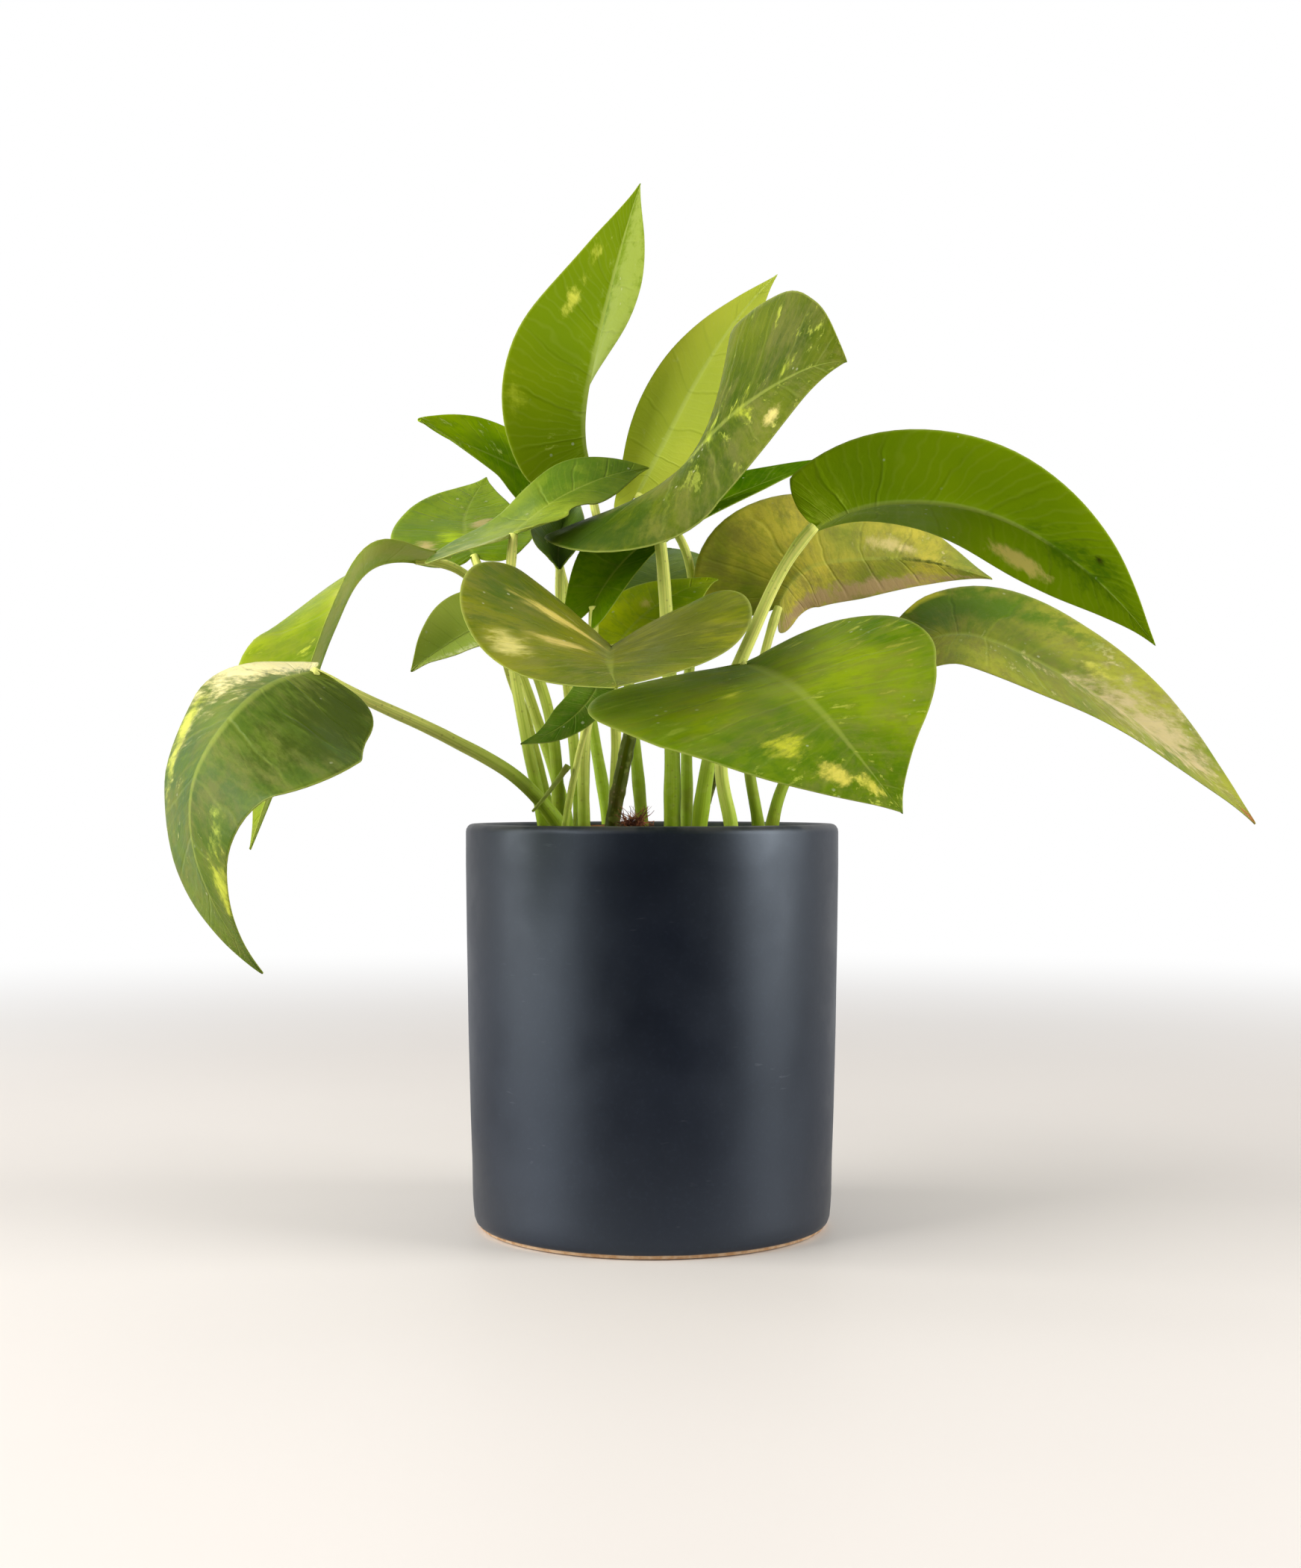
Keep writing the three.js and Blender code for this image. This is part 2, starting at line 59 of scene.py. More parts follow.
# Margin of half a flat leaf. Each row: how far along the midrib its side vein starts,
# how far along it meets the margin, and how far out, as a share of the half width.
MARGIN = [
    (0, 0, 0), (0.01, -0.05, 0.14), (0.02, -0.085, 0.36), (0.04, -0.055, 0.62),
    (0.08, 0.05, 0.86), (0.16, 0.2, 1), (0.28, 0.38, 0.97), (0.43, 0.56, 0.8),
    (0.59, 0.72, 0.56), (0.75, 0.85, 0.29), (0.89, 0.94, 0.1), (1, 1, 0),
]
VEINS = len(MARGIN) - 1

# Each leaf: stalk from inside the soil up, midrib from joint to tip, which way the upper side
# looks along it, half width on the left and right, and how far each half folds up in degrees.
# Left and right are as seen on the upper side with the tip pointing up.
# A lobe entry shrinks the left and right lobes beside the joint, thick is the stalk's
# thickness where it isn't the usual one, and gloss how shiny the blade is.
# Colours: upper, under and fleck; how much it is flecked and how bronzed it is.
# A patch is (place along, place across from -1 to 1, length, width, strength, colour). The patches
# are the leaf's colouring, except the lighter base patch on right_high, which is painted light
# over a shaded base.
LEAVES = {
    "top_left": dict(
        stalk=[(-2, 18, 92), (-3, 19, 118), (-6, 23, 150), (-11, 36, 194), (-18, 43, 219)],
        rib=[(-21, 44, 236), (-22, 42, 250), (-19, 42, 269), (-11, 50, 305), (-4, 60, 331)],
        face=[(-0.35, 1, 0.1), (-0.3, 1, 0.3)],
        half=[[24, 28, 36, 44], [28, 27, 19, 14]], fold=[[72, 72, 50, 25], [0]],
        upper="6f8f18", under="7e9604", fleck="dfe070", flecks=0.3, bronze=0.1,
        patches=[(0.64, 0.6, 0.05, 0.13, 0.7, "d8d850"), (0.73, 0.7, 0.03, 0.12, 0.65, "d4d64c"),
                 (0.44, 0.85, 0.04, 0.14, 0.7, "b8c430"), (0.5, -0.6, 0.7, 0.55, 1.2, "a2b24c")]),
    "top_back": dict(
        stalk=[(11, 27, 92), (11, 28, 118), (11, 34, 153), (12, 46, 204)],
        rib=[(-5, 54, 227), (4, 56, 245), (16, 60, 268), (29, 64, 288), (42, 68, 303)],
        face=[(-0.3, 1, 0.2), (-0.3, 1, 0.3)],
        half=[[22], [11, 16, 19, 16]], fold=[[10], [50]],
        upper="94ac40", under="bcc440", fleck="d5dc90", flecks=0.15, bronze=0.1, patches=[]),
    "top_right": dict(
        stalk=[(6, -4, 92), (6, -4, 118), (6, -4, 143), (4, 2, 188), (2, 12, 210)],
        rib=[(-1, 26, 222), (9, 2, 228), (24, -20, 240), (42, -40, 248), (54, -50, 249)],
        face=[(-0.3, -0.25, 1), (-0.55, -0.6, 0.5), (-0.5, -0.75, 0.4)],
        half=[[44, 46, 56, 110], [46, 42, 34]], fold=[[0], [0]], thick=5.4,
        upper="50620c", under="8ea83a", fleck="b8c04c", flecks=0.45, bronze=0.55,
        patches=[(0.77, 0.62, 0.03, 0.16, 0.85, "d8c878"), (0.73, 0.05, 0.03, 0.25, 0.6, "b8c038"),
                 (0.64, 0.08, 0.025, 0.22, 0.55, "acbc34"),
                 (0.82, -0.25, 0.02, 0.2, 0.55, "b2be3c"),
                 (0.4, 0.75, 0.16, 0.5, 1.1, "36500a")]),
    "under_top": dict(
        stalk=[(-21, 4, 92), (-21, 4, 118), (-20, 4, 152), (-18, 5, 175)],
        rib=[(-18, 6, 186), (-7, 20, 203), (12, 38, 218), (36, 50, 230), (60, 58, 240)],
        face=[(0, -0.5, 0.85), (0, -0.55, 0.8)],
        half=[[12, 20, 24, 26], [10, 14]], fold=[[0], [20]],
        upper="527802", under="7e9c0e", fleck="c8d86a", flecks=0.2, bronze=0.1, gloss=0.0,
        patches=[]),
    "left_high": dict(
        stalk=[(-14, 34, 92), (-14, 34, 118), (-18, 38, 144), (-27, 52, 190)],
        rib=[(-40, 66, 235), (-49, 60, 239), (-58, 52, 242), (-66, 42, 244), (-73, 28, 247)],
        face=[(0, -0.7, 0.7), (0, -0.7, 0.7)],
        half=[[22], [24]], fold=[[0], [0]],
        upper="82a804", under="86a010", fleck="d9de80", flecks=0.4, bronze=0.2, gloss=0.0,
        patches=[]),
    "left_edge": dict(
        stalk=[(-32, -9, 92), (-32, -9, 118), (-37, -9, 143), (-42, -8, 174)],
        rib=[(-41, -12, 206), (-39, 4, 211), (-29, 14, 220), (-14, 22, 228), (-1, 30, 232)],
        face=[(-0.35, 0.1, 1), (-0.1, -0.1, 1), (-0.3, -0.8, 0.6), (0, -0.9, 0.5)],
        half=[[34, 20, 24, 28], [16]], fold=[[0], [0]],
        upper="7a942c", under="a0b048", fleck="d6dca0", flecks=0.1, bronze=0.1,
        patches=[(0.41, 0.25, 0.02, 0.08, 1.0, "6a4a20"), (0.2, -0.7, 0.22, 0.5, 1.1, "a9b064")]),
    "left_back": dict(
        stalk=[(-26, 18, 92), (-26, 18, 118), (-38, 24, 158), (-52, 32, 193)],
        rib=[(-57, 36, 205), (-61, 50, 214), (-62, 66, 223), (-57, 88, 238)],
        face=[(0, -0.8, 1), (0, -0.8, 1)],
        half=[[24], [22]], fold=[[0], [0]],
        upper="7c9a0f", under="8ea624", fleck="c9c27c", flecks=0.3, bronze=0.2,
        patches=[(0.5, -0.2, 0.05, 0.2, 0.9, "b4cc18"), (0.44, -0.55, 0.04, 0.16, 0.95, "cdb878"),
                 (0.59, 0.3, 0.05, 0.18, 1.0, "cbb47c")]),
    "left_arching": dict(
        stalk=[(-28, 2, 92), (-28, 2, 118), (-31, 3, 152), (-41, 12, 177), (-58, 16, 197)],
        rib=[(-73, 14, 201), (-87, 6, 197), (-95, -8, 178), (-103, -21, 149), (-116, -28, 113)],
        face=[(-0.2, -0.8, 0.6), (-0.6, -0.8, 0.2)],
        half=[[16], [20, 34, 26]], fold=[[60], [-45, 0, 0]],
        upper="82990d", under="a6b84c", fleck="c8d040", flecks=0.35, bronze=0.35,
        patches=[(0.45, -0.6, 0.5, 0.4, 0.95, "b0b85c"), (0.5, 0.1, 0.08, 0.3, 0.6, "b8b848")]),
    "left_hanging": dict(
        stalk=[(-21, -22, 92), (-23, -22, 112), (-37, -30, 132), (-58, -40, 145), (-81, -54, 156)],
        rib=[(-92, -64, 162), (-107, -76, 154), (-120, -82, 133), (-119, -80, 109),
             (-104, -72, 81)],
        face=[(-0.1, -0.5, 1), (-0.86, -0.5, 0.25), (-0.8, -0.6, 0)],
        half=[[38, 42, 24, 18], [34]], fold=[[-25, -15, 0], [-8, -3, 0]], thick=4.8,
        upper="5b7327", under="98a848", fleck="d8d878", flecks=0.35, bronze=0.6,
        patches=[(0.28, 0.75, 0.2, 0.6, 1.15, "f2e4a0"), (0.52, 0.85, 0.1, 0.15, 0.8, "c8ca50"),
                 (0.75, -0.85, 0.05, 0.3, 0.85, "ccd048"), (0.68, -0.6, 0.04, 0.2, 0.6, "bcc850"),
                 (0.32, -0.62, 0.26, 0.5, 1.1, "3c4c0c")]),
    "front_centre": dict(
        stalk=[(-20, -15, 92), (-20, -15, 118), (-20, -16, 143), (-16, -14, 162)],
        rib=[(-12, -18, 172), (-12, -44, 167), (-11, -72, 162), (-9, -100, 156)],
        face=[(0, -0.3, 1), (0, -0.3, 1)],
        half=[[42], [46]], fold=[[30, 17, 5, 0], [40, 25, 5, -10]],
        upper="727c12", under="93a442", fleck="e0cf80", flecks=0.35, bronze=0.6,
        patches=[(0.45, 0.35, 0.028, 0.38, 1.1, "e6cf6c"),
                 (0.6, 0.35, 0.025, 0.25, 0.85, "dcc66c"),
                 (0.64, 0.78, 0.05, 0.14, 1.0, "dcd078"), (0.55, -0.5, 0.3, 0.5, 0.9, "5c6220"),
                 (0.5, 0.75, 0.2, 0.25, 0.6, "47600f")]),
    "centre_back": dict(
        stalk=[(-12, 7, 92), (-12, 7, 118), (-11, 10, 143), (-12, 14, 162)],
        rib=[(-11, 16, 175), (-1, 20, 186), (10, 26, 193), (21, 32, 197)],
        face=[(0, -0.6, 1), (0, -0.6, 1)],
        half=[[16], [14]], fold=[[0], [0]],
        # partly the leaf's own green, partly painted light: the upper colour is lightened to make
        # up for the shadow this leaf sits in
        upper="a8bc08", under="9eb634", fleck="d0d870", flecks=0.3, bronze=0.2,
        patches=[(0.6, -0.25, 0.03, 0.25, 0.9, "d8c868")]),
    "front_right": dict(
        stalk=[(24, -28, 92), (23, -28, 118), (20, -26, 136), (22, -26, 156)],
        rib=[(27, -32, 166), (37, -54, 160), (45, -72, 151), (54, -88, 138), (64, -96, 124)],
        face=[(0, -0.5, 0.9), (0, -0.6, 0.8)],
        half=[[42], [56]], fold=[[12], [0]], thick=4.8,
        upper="74900a", under="97a93c", fleck="d4da58", flecks=0.4, bronze=0.5,
        patches=[(0.73, 0.5, 0.035, 0.2, 0.8, "d0d038"), (0.82, 0.6, 0.035, 0.2, 0.9, "dccf58"),
                 (0.9, 0.35, 0.04, 0.25, 0.85, "dcd254"), (0.55, 0.35, 0.014, 0.04, 1.1, "dde040"),
                 (0.62, -0.6, 0.3, 0.4, 0.4, "86882c"),
                 (0.5, 0.75, 0.22, 0.5, 0.55, "7a9226")]),
    "right_high": dict(
        stalk=[(14, -6, 92), (14, -6, 118), (20, -8, 152), (30, -10, 177), (39, -12, 196)],
        rib=[(48, -14, 208), (71, -14, 215), (101, -10, 212), (129, -4, 197), (153, 4, 174)],
        face=[(0, 0.8, 0.5), (0.3, 1, 0.3)],
        half=[[25], [22, 21]], fold=[[60, 50, 20, 0], [0]], lobe=[0.4, 0.2], thick=5.2,
        upper="6b8b14", under="84a202", fleck="d8cf78", flecks=0.12, bronze=0.1,
        patches=[(0.68, -0.68, 0.06, 0.16, 1.1, "dcca78"),
                 (0.775, 0.55, 0.004, 0.012, 1.0, "201808"),
                 # painted light: this lighter patch brightens the base of the blade, which lies in
                 # shade under top_right
                 (0.2, -0.2, 0.16, 0.8, 0.8, "b4c838"),
                 (0.8, 0.1, 0.12, 0.8, 0.75, "4e7404")]),
    "right_back": dict(
        stalk=[(34, 16, 92), (33, 16, 118), (30, 18, 141), (34, 24, 167)],
        rib=[(40, 30, 188), (49, 32, 200), (69, 38, 204), (88, 44, 204), (111, 50, 199)],
        face=[(0, -0.7, 0.7), (0, -0.7, 0.7)],
        half=[[38], [14]], fold=[[0], [-70]],
        upper="b8b64c", under="a4a65c", fleck="dccf9c", flecks=0.3, bronze=0.8,
        patches=[(0.7, -0.28, 0.06, 0.16, 1.05, "e0cc84"), (0.8, 0.0, 0.1, 0.08, 0.9, "4a5214"),
                 (0.5, 0.8, 0.5, 0.3, 1.0, "b89a72")]),
    "right_long": dict(
        stalk=[(35, 0, 92), (36, 0, 118), (42, 2, 136), (63, 6, 162)],
        rib=[(84, 10, 176), (99, 6, 177), (124, 2, 165), (151, -2, 147), (181, -4, 120)],
        face=[(0, -0.6, 0.8), (0.2, -0.6, 0.8)],
        half=[[32], [20]], fold=[[0], [0, 14, 8]],
        upper="8c9836", under="b0b264", fleck="d6ce80", flecks=0.4, bronze=0.9,
        patches=[(0.38, -0.65, 0.16, 0.45, 1.0, "587a10"), (0.32, -0.95, 0.04, 0.1, 1.2, "d4ce40"),
                 (0.75, -0.1, 0.16, 0.9, 0.85, "c8b684"), (0.97, 0, 0.03, 1, 1.2, "a8603c"),
                 (0.62, -0.45, 0.03, 0.2, 0.85, "ccc850")]),
    "left_small": dict(
        stalk=[(-30, 10, 92), (-31, 10, 118), (-38, 8, 150), (-43, 4, 165)],
        rib=[(-47, 0, 180), (-54, -2, 178), (-63, -8, 172), (-71, -16, 165)],
        face=[(0, 1, 0.2), (0, 1, 0.2)],
        half=[[12], [12]], fold=[[0], [-70]],
        upper="90a43c", under="a4b44c", fleck="d6d890", flecks=0.3, bronze=0.2,
        patches=[(0.4, 0.9, 0.6, 0.3, 0.7, "d4d8a0")]),
    "back_small": dict(
        stalk=[(9, 39, 92), (8, 40, 118), (6, 46, 154)],
        rib=[(3, 54, 193), (2, 62, 200), (3, 76, 208), (7, 94, 214)],
        face=[(0, -0.5, 1), (0, -0.5, 1)],
        half=[[18], [18]], fold=[[10], [10]],
        upper="6a8640", under="8ea24a", fleck="c0cfa0", flecks=0.1, bronze=0.1, gloss=0.02,
        patches=[]),
    "front_young": dict(
        stalk=[(-26, -33, 92), (-25, -33, 118), (-21, -32, 140), (-17, -33, 154)],
        rib=[(-15, -36, 161), (-19, -38, 154), (-27, -42, 147), (-37, -42, 143)],
        face=[(0, -1, 1), (0, -1, 1)],
        half=[[6], [7]], fold=[[0], [0]], thick=2.6,
        upper="5a7c1c", under="8aa238", fleck="c6d070", flecks=0.15, bronze=0.3, patches=[]),
    "centre_inner": dict(
        stalk=[(-22, 11, 92), (-22, 11, 118), (-25, 14, 153), (-28, 20, 178)],
        rib=[(-29, 24, 199), (-30, 38, 207), (-29, 54, 218), (-26, 70, 228)],
        face=[(0, -0.6, 1), (0, -0.6, 1)],
        half=[[13], [13]], fold=[[50], [50]], lobe=[0, 0],
        upper="4d6e16", under="7a962c", fleck="c6d070", flecks=0.2, bronze=0.2, patches=[]),
}

STALK_THICKNESS = 4.2
STALK_TAPER = 0.62

# Older bare vine stems, from inside the soil up to the broken end.
VINES = {
    "vine_left": ([(-12, -7, 92), (-12, -7, 118), (-8, -6, 140), (-5, -5, 154)], 4.6),
    "vine_right": ([(16, 8, 92), (14, 9, 118), (19, 9, 137), (21, 9, 150)], 4.4),
}
SHEATH_PATH = [(-24, -33.3, 137), (-29, -35, 130), (-34, -35.5, 124)]
SHEATH_THICKNESS = 2

# Pot, as in the frame: outer radii from foot to rim, wall and floor.
POT_HEIGHT = 120
RIM_RADIUS = 56
BELLY_RADIUS = 55.2
LOW_RADIUS = 53.6
FOOT_RADIUS = 51.4
POT_WALL = 4
POT_FLOOR = 5
FOOT_LINE = 1.1  # height of the bare clay line at the foot

SOIL_EDGE_Z = 112
SOIL_MOUND = 4
CRUMB_FIELD = 49  # half width of the square that crumbs are scattered over
CRUMB_REACH = 49.5  # and the furthest that one may lie from the axis
SMALLEST_CRUMB = 0.4

# Stage, in metres, and each light's width, height and place.
CAMERA_LENS = 47.19
CAMERA_SENSOR = 36.0
CAMERA_SHIFT = (-0.001, 0.0062)
LIGHTS = {
    "key": (1.1, 1.0, (-1.1, -0.35, 0.45)),
    "fill": (0.7, 1.0, (1.12, -0.3, 0.4)),
    "sky": (1.3, 0.8, (-0.2, -0.8, 1.35)),
}
LIGHT_AIM = (0, 0, 0.15)
FLOOR_RADIUS = 9.0
FLOOR_SIDES = 96
FLOOR_DROP = 0.0002  # keeps the floor just clear of the pot's base

# Fixed tints of the shared effects.
BRONZE = (0.21, 0.19, 0.055, 1.0)
FINE_VEIN = (0.34, 0.38, 0.04, 1.0)
SIDE_VEIN = (0.36, 0.42, 0.08, 1.0)
MIDRIB = (0.4, 0.46, 0.08, 1.0)
UNDER_VEIN = (0.46, 0.52, 0.1, 1.0)
UNDER_RIB = (0.46, 0.54, 0.12, 1.0)
DRIED_DROP = (0.6, 0.6, 0.4, 1.0)
PALE_MARGIN = (0.4, 0.44, 0.1, 1.0)
STALK_FRECKLE = (0.55, 0.62, 0.14, 1.0)
STALK_SPECK = (0.16, 0.12, 0.04, 1.0)
GLAZE_SPECKLE = (0.011, 0.016, 0.028, 1.0)
GLAZE_SCUFF = (0.12, 0.12, 0.14, 1.0)
RIM_GLAZE = (0.09, 0.085, 0.085, 1.0)
SANDY_CLAY = (0.62, 0.44, 0.27, 1.0)
PALE_CRUMB = (0.2, 0.12, 0.07, 1.0)
DUSTY_SOIL = (0.12, 0.08, 0.05, 1.0)


# ---------------------------------------------------------------- small helpers

def colour(text):
    """A hex colour as linear red, green, blue and alpha."""
    parts = [int(text[i:i + 2], 16) / 255 for i in (0, 2, 4)]
    linear = [c / 12.92 if c <= 0.04045 else ((c + 0.055) / 1.055) ** 2.4 for c in parts]
    return (*linear, 1.0)


def clamp(x, low=0.0, high=1.0):
    return min(max(x, low), high)


def bump(x, centre, width):
    """1 at the centre, falling smoothly to 0 a couple of widths away."""
    return math.exp(-((x - centre) / width) ** 2)


class Path:
    """A smooth curve through points: place and direction at a share of its length."""

    def __init__(self, points):
        self.p = [Vector(q) for q in points]
        knots = [0.0]
        for a, b in zip(self.p, self.p[1:]):
            knots.append(knots[-1] + (b - a).length)
        self.length = knots[-1]
        self.k = [d / self.length for d in knots]
        last = len(self.p) - 1
        self.m = [self.slope(max(i - 1, 0), min(i + 1, last)) for i in range(last + 1)]
        if last > 1:
            self.m[0] = 2 * self.slope(0, 1) - self.m[1]
            self.m[last] = 2 * self.slope(last - 1, last) - self.m[last - 1]

    def slope(self, a, b):
        return (self.p[b] - self.p[a]) / (self.k[b] - self.k[a])

    def at(self, u):
        i = 0
        while i < len(self.p) - 2 and self.k[i + 1] <= u:
            i += 1
        h = self.k[i + 1] - self.k[i]
        t = (u - self.k[i]) / h
        t2, t3 = t * t, t * t * t
        place = ((2 * t3 - 3 * t2 + 1) * self.p[i] + (t3 - 2 * t2 + t) * h * self.m[i]
                 + (3 * t2 - 2 * t3) * self.p[i + 1] + (t3 - t2) * h * self.m[i + 1])
        along = ((6 * t2 - 6 * t) * self.p[i] + (3 * t2 - 4 * t + 1) * h * self.m[i]
                 + (6 * t - 6 * t2) * self.p[i + 1] + (3 * t2 - 2 * t) * h * self.m[i + 1])
        return place, along.normalized()


def blend(rows, x):
    """Value of evenly spaced rows, numbers or tuples, at share x, smoothly blended."""
    if len(rows) == 1:
        return rows[0]
    place = x * (len(rows) - 1)
    i = min(int(place), len(rows) - 2)
    t = place - i
    a, b, c, d = (rows[clamp(j, 0, len(rows) - 1)] for j in (i - 1, i, i + 1, i + 2))

    def mix(a, b, c, d):
        return 0.5 * (2 * b + (c - a) * t + (2 * a - 5 * b + 4 * c - d) * t * t
                      + (3 * b - a - 3 * c + d) * t * t * t)
    if isinstance(b, tuple):
        return tuple(mix(*q) for q in zip(a, b, c, d))
    return mix(a, b, c, d)


def mesh_piece(name, points, faces, material, slot, nodes, values=None):
    """A smooth mesh piece in metres that stands for CAD nodes; values holds its attributes."""
    mesh = bpy.data.meshes.new(name)
    mesh.from_pydata([tuple(c * MM for c in p) for p in points], [], faces)
    mesh.update()
    mesh.shade_smooth()
    values = values or {}
    if "uv" in values:
        layer = mesh.uv_layers.new(name="blade")
        for loop in mesh.loops:
            layer.data[loop.index].uv = values["uv"][loop.vertex_index]
    for key, kind in (("under", "FLOAT"), ("patch", "FLOAT_COLOR"), ("shade", "FLOAT")):
        if key in values:
            data = mesh.attributes.new(key, kind, "POINT").data
            for item, value in zip(data, values[key]):
                if kind == "FLOAT":
                    item.value = value
                else:
                    item.color = value
    mesh.materials.append(material)
    piece = bpy.data.objects.new(name, mesh)
    bpy.context.scene.collection.objects.link(piece)
    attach(piece, BODY)
    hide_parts(*nodes)


# ---------------------------------------------------------------- leaf shapes

class Blade:
    """One leaf's midrib and margins, giving any point of its middle surface."""

    def __init__(self, leaf):
        self.leaf = leaf
        self.rib = Path(leaf["rib"])

    def point(self, s, v, side):
        """s picks the side vein, v runs from midrib to margin, side is -1 or 1."""
        k = 0 if side < 0 else 1
        start, end, out = blend(MARGIN, s)
        if end < 0 and "lobe" in self.leaf:
            end *= self.leaf["lobe"][k]
        a = start * (1 - v) + end * v
        on_rib = clamp(a)
        place, along = self.rib.at(on_rib)
        place = place + along * (a - on_rib) * self.rib.length
        up = Vector(blend(self.leaf["face"], on_rib))
        up = (up - along * up.dot(along)).normalized()
        right = along.cross(up)
        fold = math.radians(blend(self.leaf["fold"][k], on_rib))
        across = out * v * blend(self.leaf["half"][k], on_rib)
        return place + right * (side * across * math.cos(fold)) + up * (across * math.sin(fold))


ROWS = VEINS * 6
ACROSS = [0, 0.03, 0.075, 0.14, 0.23, 0.33, 0.44, 0.55, 0.66, 0.77, 0.87, 0.95, 1]


def blade_sheet(leaf):
    """Middle surface: points, their (s, signed v), quads and triangles, and the edge loop."""
    blade = Blade(leaf)
    spread = [-v for v in reversed(ACROSS[1:])] + ACROSS
    wide = len(spread)
    points, places = [blade.point(0, 0, 1)], [(0.0, 0.0)]
    for r in range(1, ROWS):
        for v in spread:
            points.append(blade.point(r / ROWS, abs(v), -1 if v < 0 else 1))
            places.append((r / ROWS, v))
    points.append(blade.point(1, 0, 1))
    places.append((1.0, 0.0))
    tip = len(points) - 1

    def cell(r, c):
        return 1 + (r - 1) * wide + c
    faces = []
    for c in range(wide - 1):
        faces.append((0, cell(1, c + 1), cell(1, c)))
        faces.append((tip, cell(ROWS - 1, c), cell(ROWS - 1, c + 1)))
        for r in range(1, ROWS - 1):
            faces.append((cell(r, c), cell(r, c + 1), cell(r + 1, c + 1), cell(r + 1, c)))
    left = [cell(r, 0) for r in range(1, ROWS)]
    right = [cell(r, wide - 1) for r in range(ROWS - 1, 0, -1)]
    return points, places, faces, [0, *left, tip, *right]


def sheet_normals(points, faces):
    """Smooth normals of the middle surface, one for each point."""
    sums = [Vector() for _ in points]
    for face in faces:
        a, b, c = (points[i] for i in face[:3])
        n = (b - a).cross(c - a)
        for i in face:
            sums[i] += n
    return [n.normalized() for n in sums]


def patch_at(leaf, s, v):
    """Colour and strength of the strongest patch at a place on the leaf."""
    best, tint = 0.0, colour(leaf["fleck"])
    for s0, v0, length, width, strength, text in leaf["patches"]:
        here = strength * bump(s, s0, length) * bump(v, v0, width)
        if here > best:
            best, tint = here, colour(text)
    return (*tint[:3], best)


def blade_mesh(leaf, thickness, relief, seed):
    """A closed blade: upper side, under side and a rounded margin between them."""
    points, places, faces, edge = blade_sheet(leaf)
    normals = sheet_normals(points, faces)
    raised, hollow = [], []
    for i, (s, v) in enumerate(places):
        side = abs(v)
        free = side * side * (1 - 0.5 * s)
        sway = noise.noise(Vector((s * 5.0, seed, v))) * 1.5 * free
        quilt = relief * math.cos(2 * math.pi * s * VEINS) * side * (1.2 - side) * (1 - s)
        rib = bump(side, 0, 0.05) * (1 - 0.8 * s)
        thin = thickness / 2 * (1 - 0.45 * side)
        raised.append(points[i] + normals[i] * (sway - quilt + thin - 0.3 * rib))
        hollow.append(points[i] + normals[i] * (sway - quilt - thin - 0.75 * rib))
    n = len(points)
    all_points = raised + hollow
    all_faces = list(faces) + [tuple(i + n for i in reversed(f)) for f in faces]
    uv = [(0.5 + 0.5 * v, s) for s, v in places] * 2
    under = [0.0] * n + [1.0] * n
    patch = [patch_at(leaf, s, v) for s, v in places] * 2
    rim = {}
    for j, a in enumerate(edge):
        before, after = points[edge[j - 1]], points[edge[(j + 1) % len(edge)]]
        out = (before - after).cross(normals[a]).normalized()
        rim[a] = len(all_points)
        all_points.append((raised[a] + hollow[a]) / 2 + out * thickness * 0.25)
        uv.append(uv[a])
        under.append(0.5)
        patch.append(patch[a])
    for a, b in zip(edge, edge[1:] + edge[:1]):
        all_faces.append((a, b, rim[b], rim[a]))
        all_faces.append((rim[a], rim[b], b + n, a + n))
    return all_points, all_faces, {"uv": uv, "under": under, "patch": patch}


# ---------------------------------------------------------------- tube shapes

def tube_mesh(path, radius_at, steps=48, sides=16):
    """A closed tube; radius_at(u, turn) gives its radius along and round the path."""
    path = Path(path)
    points, uv, faces = [], [], []
    along = path.at(0)[1]
    side = (Vector((1, 0, 0)) - along * along.x).normalized()
    for i in range(steps + 1):
        u = i / steps
        at, along = path.at(u)
        side = (side - along * side.dot(along)).normalized()
        front = along.cross(side)
        for j in range(sides):
            turn = 2 * math.pi * j / sides
            r = radius_at(u, turn)
            points.append(at + side * (r * math.cos(turn)) + front * (r * math.sin(turn)))
            uv.append((j / sides, u))
    for i in range(steps):
        for j in range(sides):
            a, b = i * sides + j, i * sides + (j + 1) % sides
            faces.append((a, b, b + sides, a + sides))
    for i, order in ((0, -1), (steps, 1)):
        at, along = path.at(i / steps)
        points.append(at + along * (0.25 * order))
        uv.append((0.5, i / steps))
        for j in range(sides):
            a, b = i * sides + j, i * sides + (j + 1) % sides
            faces.append((a, b, len(points) - 1)[::order])
    return points, faces, {"uv": uv}


def stalk_mesh(leaf):
    """A leaf stalk: sheathing foot, a groove along its upper side, swollen joint at the blade."""
    half = leaf.get("thick", STALK_THICKNESS) / 2
    seed = leaf["stalk"][0][0]

    def radius(u, turn):
        r = half * (1 + (STALK_TAPER - 1) * u)
        r *= 1 + 0.16 * bump(u, 0.95, 0.035) + 0.1 * bump(u, 0.27, 0.03)
        r *= 1 - 0.1 * bump(math.cos(turn - 1.2), 1, 0.25) * (1 - u * 0.4)
        return r * (1 + 0.05 * noise.noise(Vector((u * 14, math.cos(turn), seed))))
    return tube_mesh([*leaf["stalk"], leaf["rib"][0]], radius, steps=60)


def vine_mesh(path, thick):
    """An old stem with ring scars where leaves once sat and a rough broken end."""
    def radius(u, turn):
        rings = sum(bump(u, c, 0.018) for c in (0.42, 0.6, 0.78, 0.93))
        rough = noise.noise(Vector((u * 22, math.cos(turn) * 1.5, math.sin(turn) * 1.5 + thick)))
        return thick / 2 * (1 - 0.1 * u) * (1 + 0.14 * rings + 0.09 * rough)
    return tube_mesh(path, radius, steps=72, sides=20)


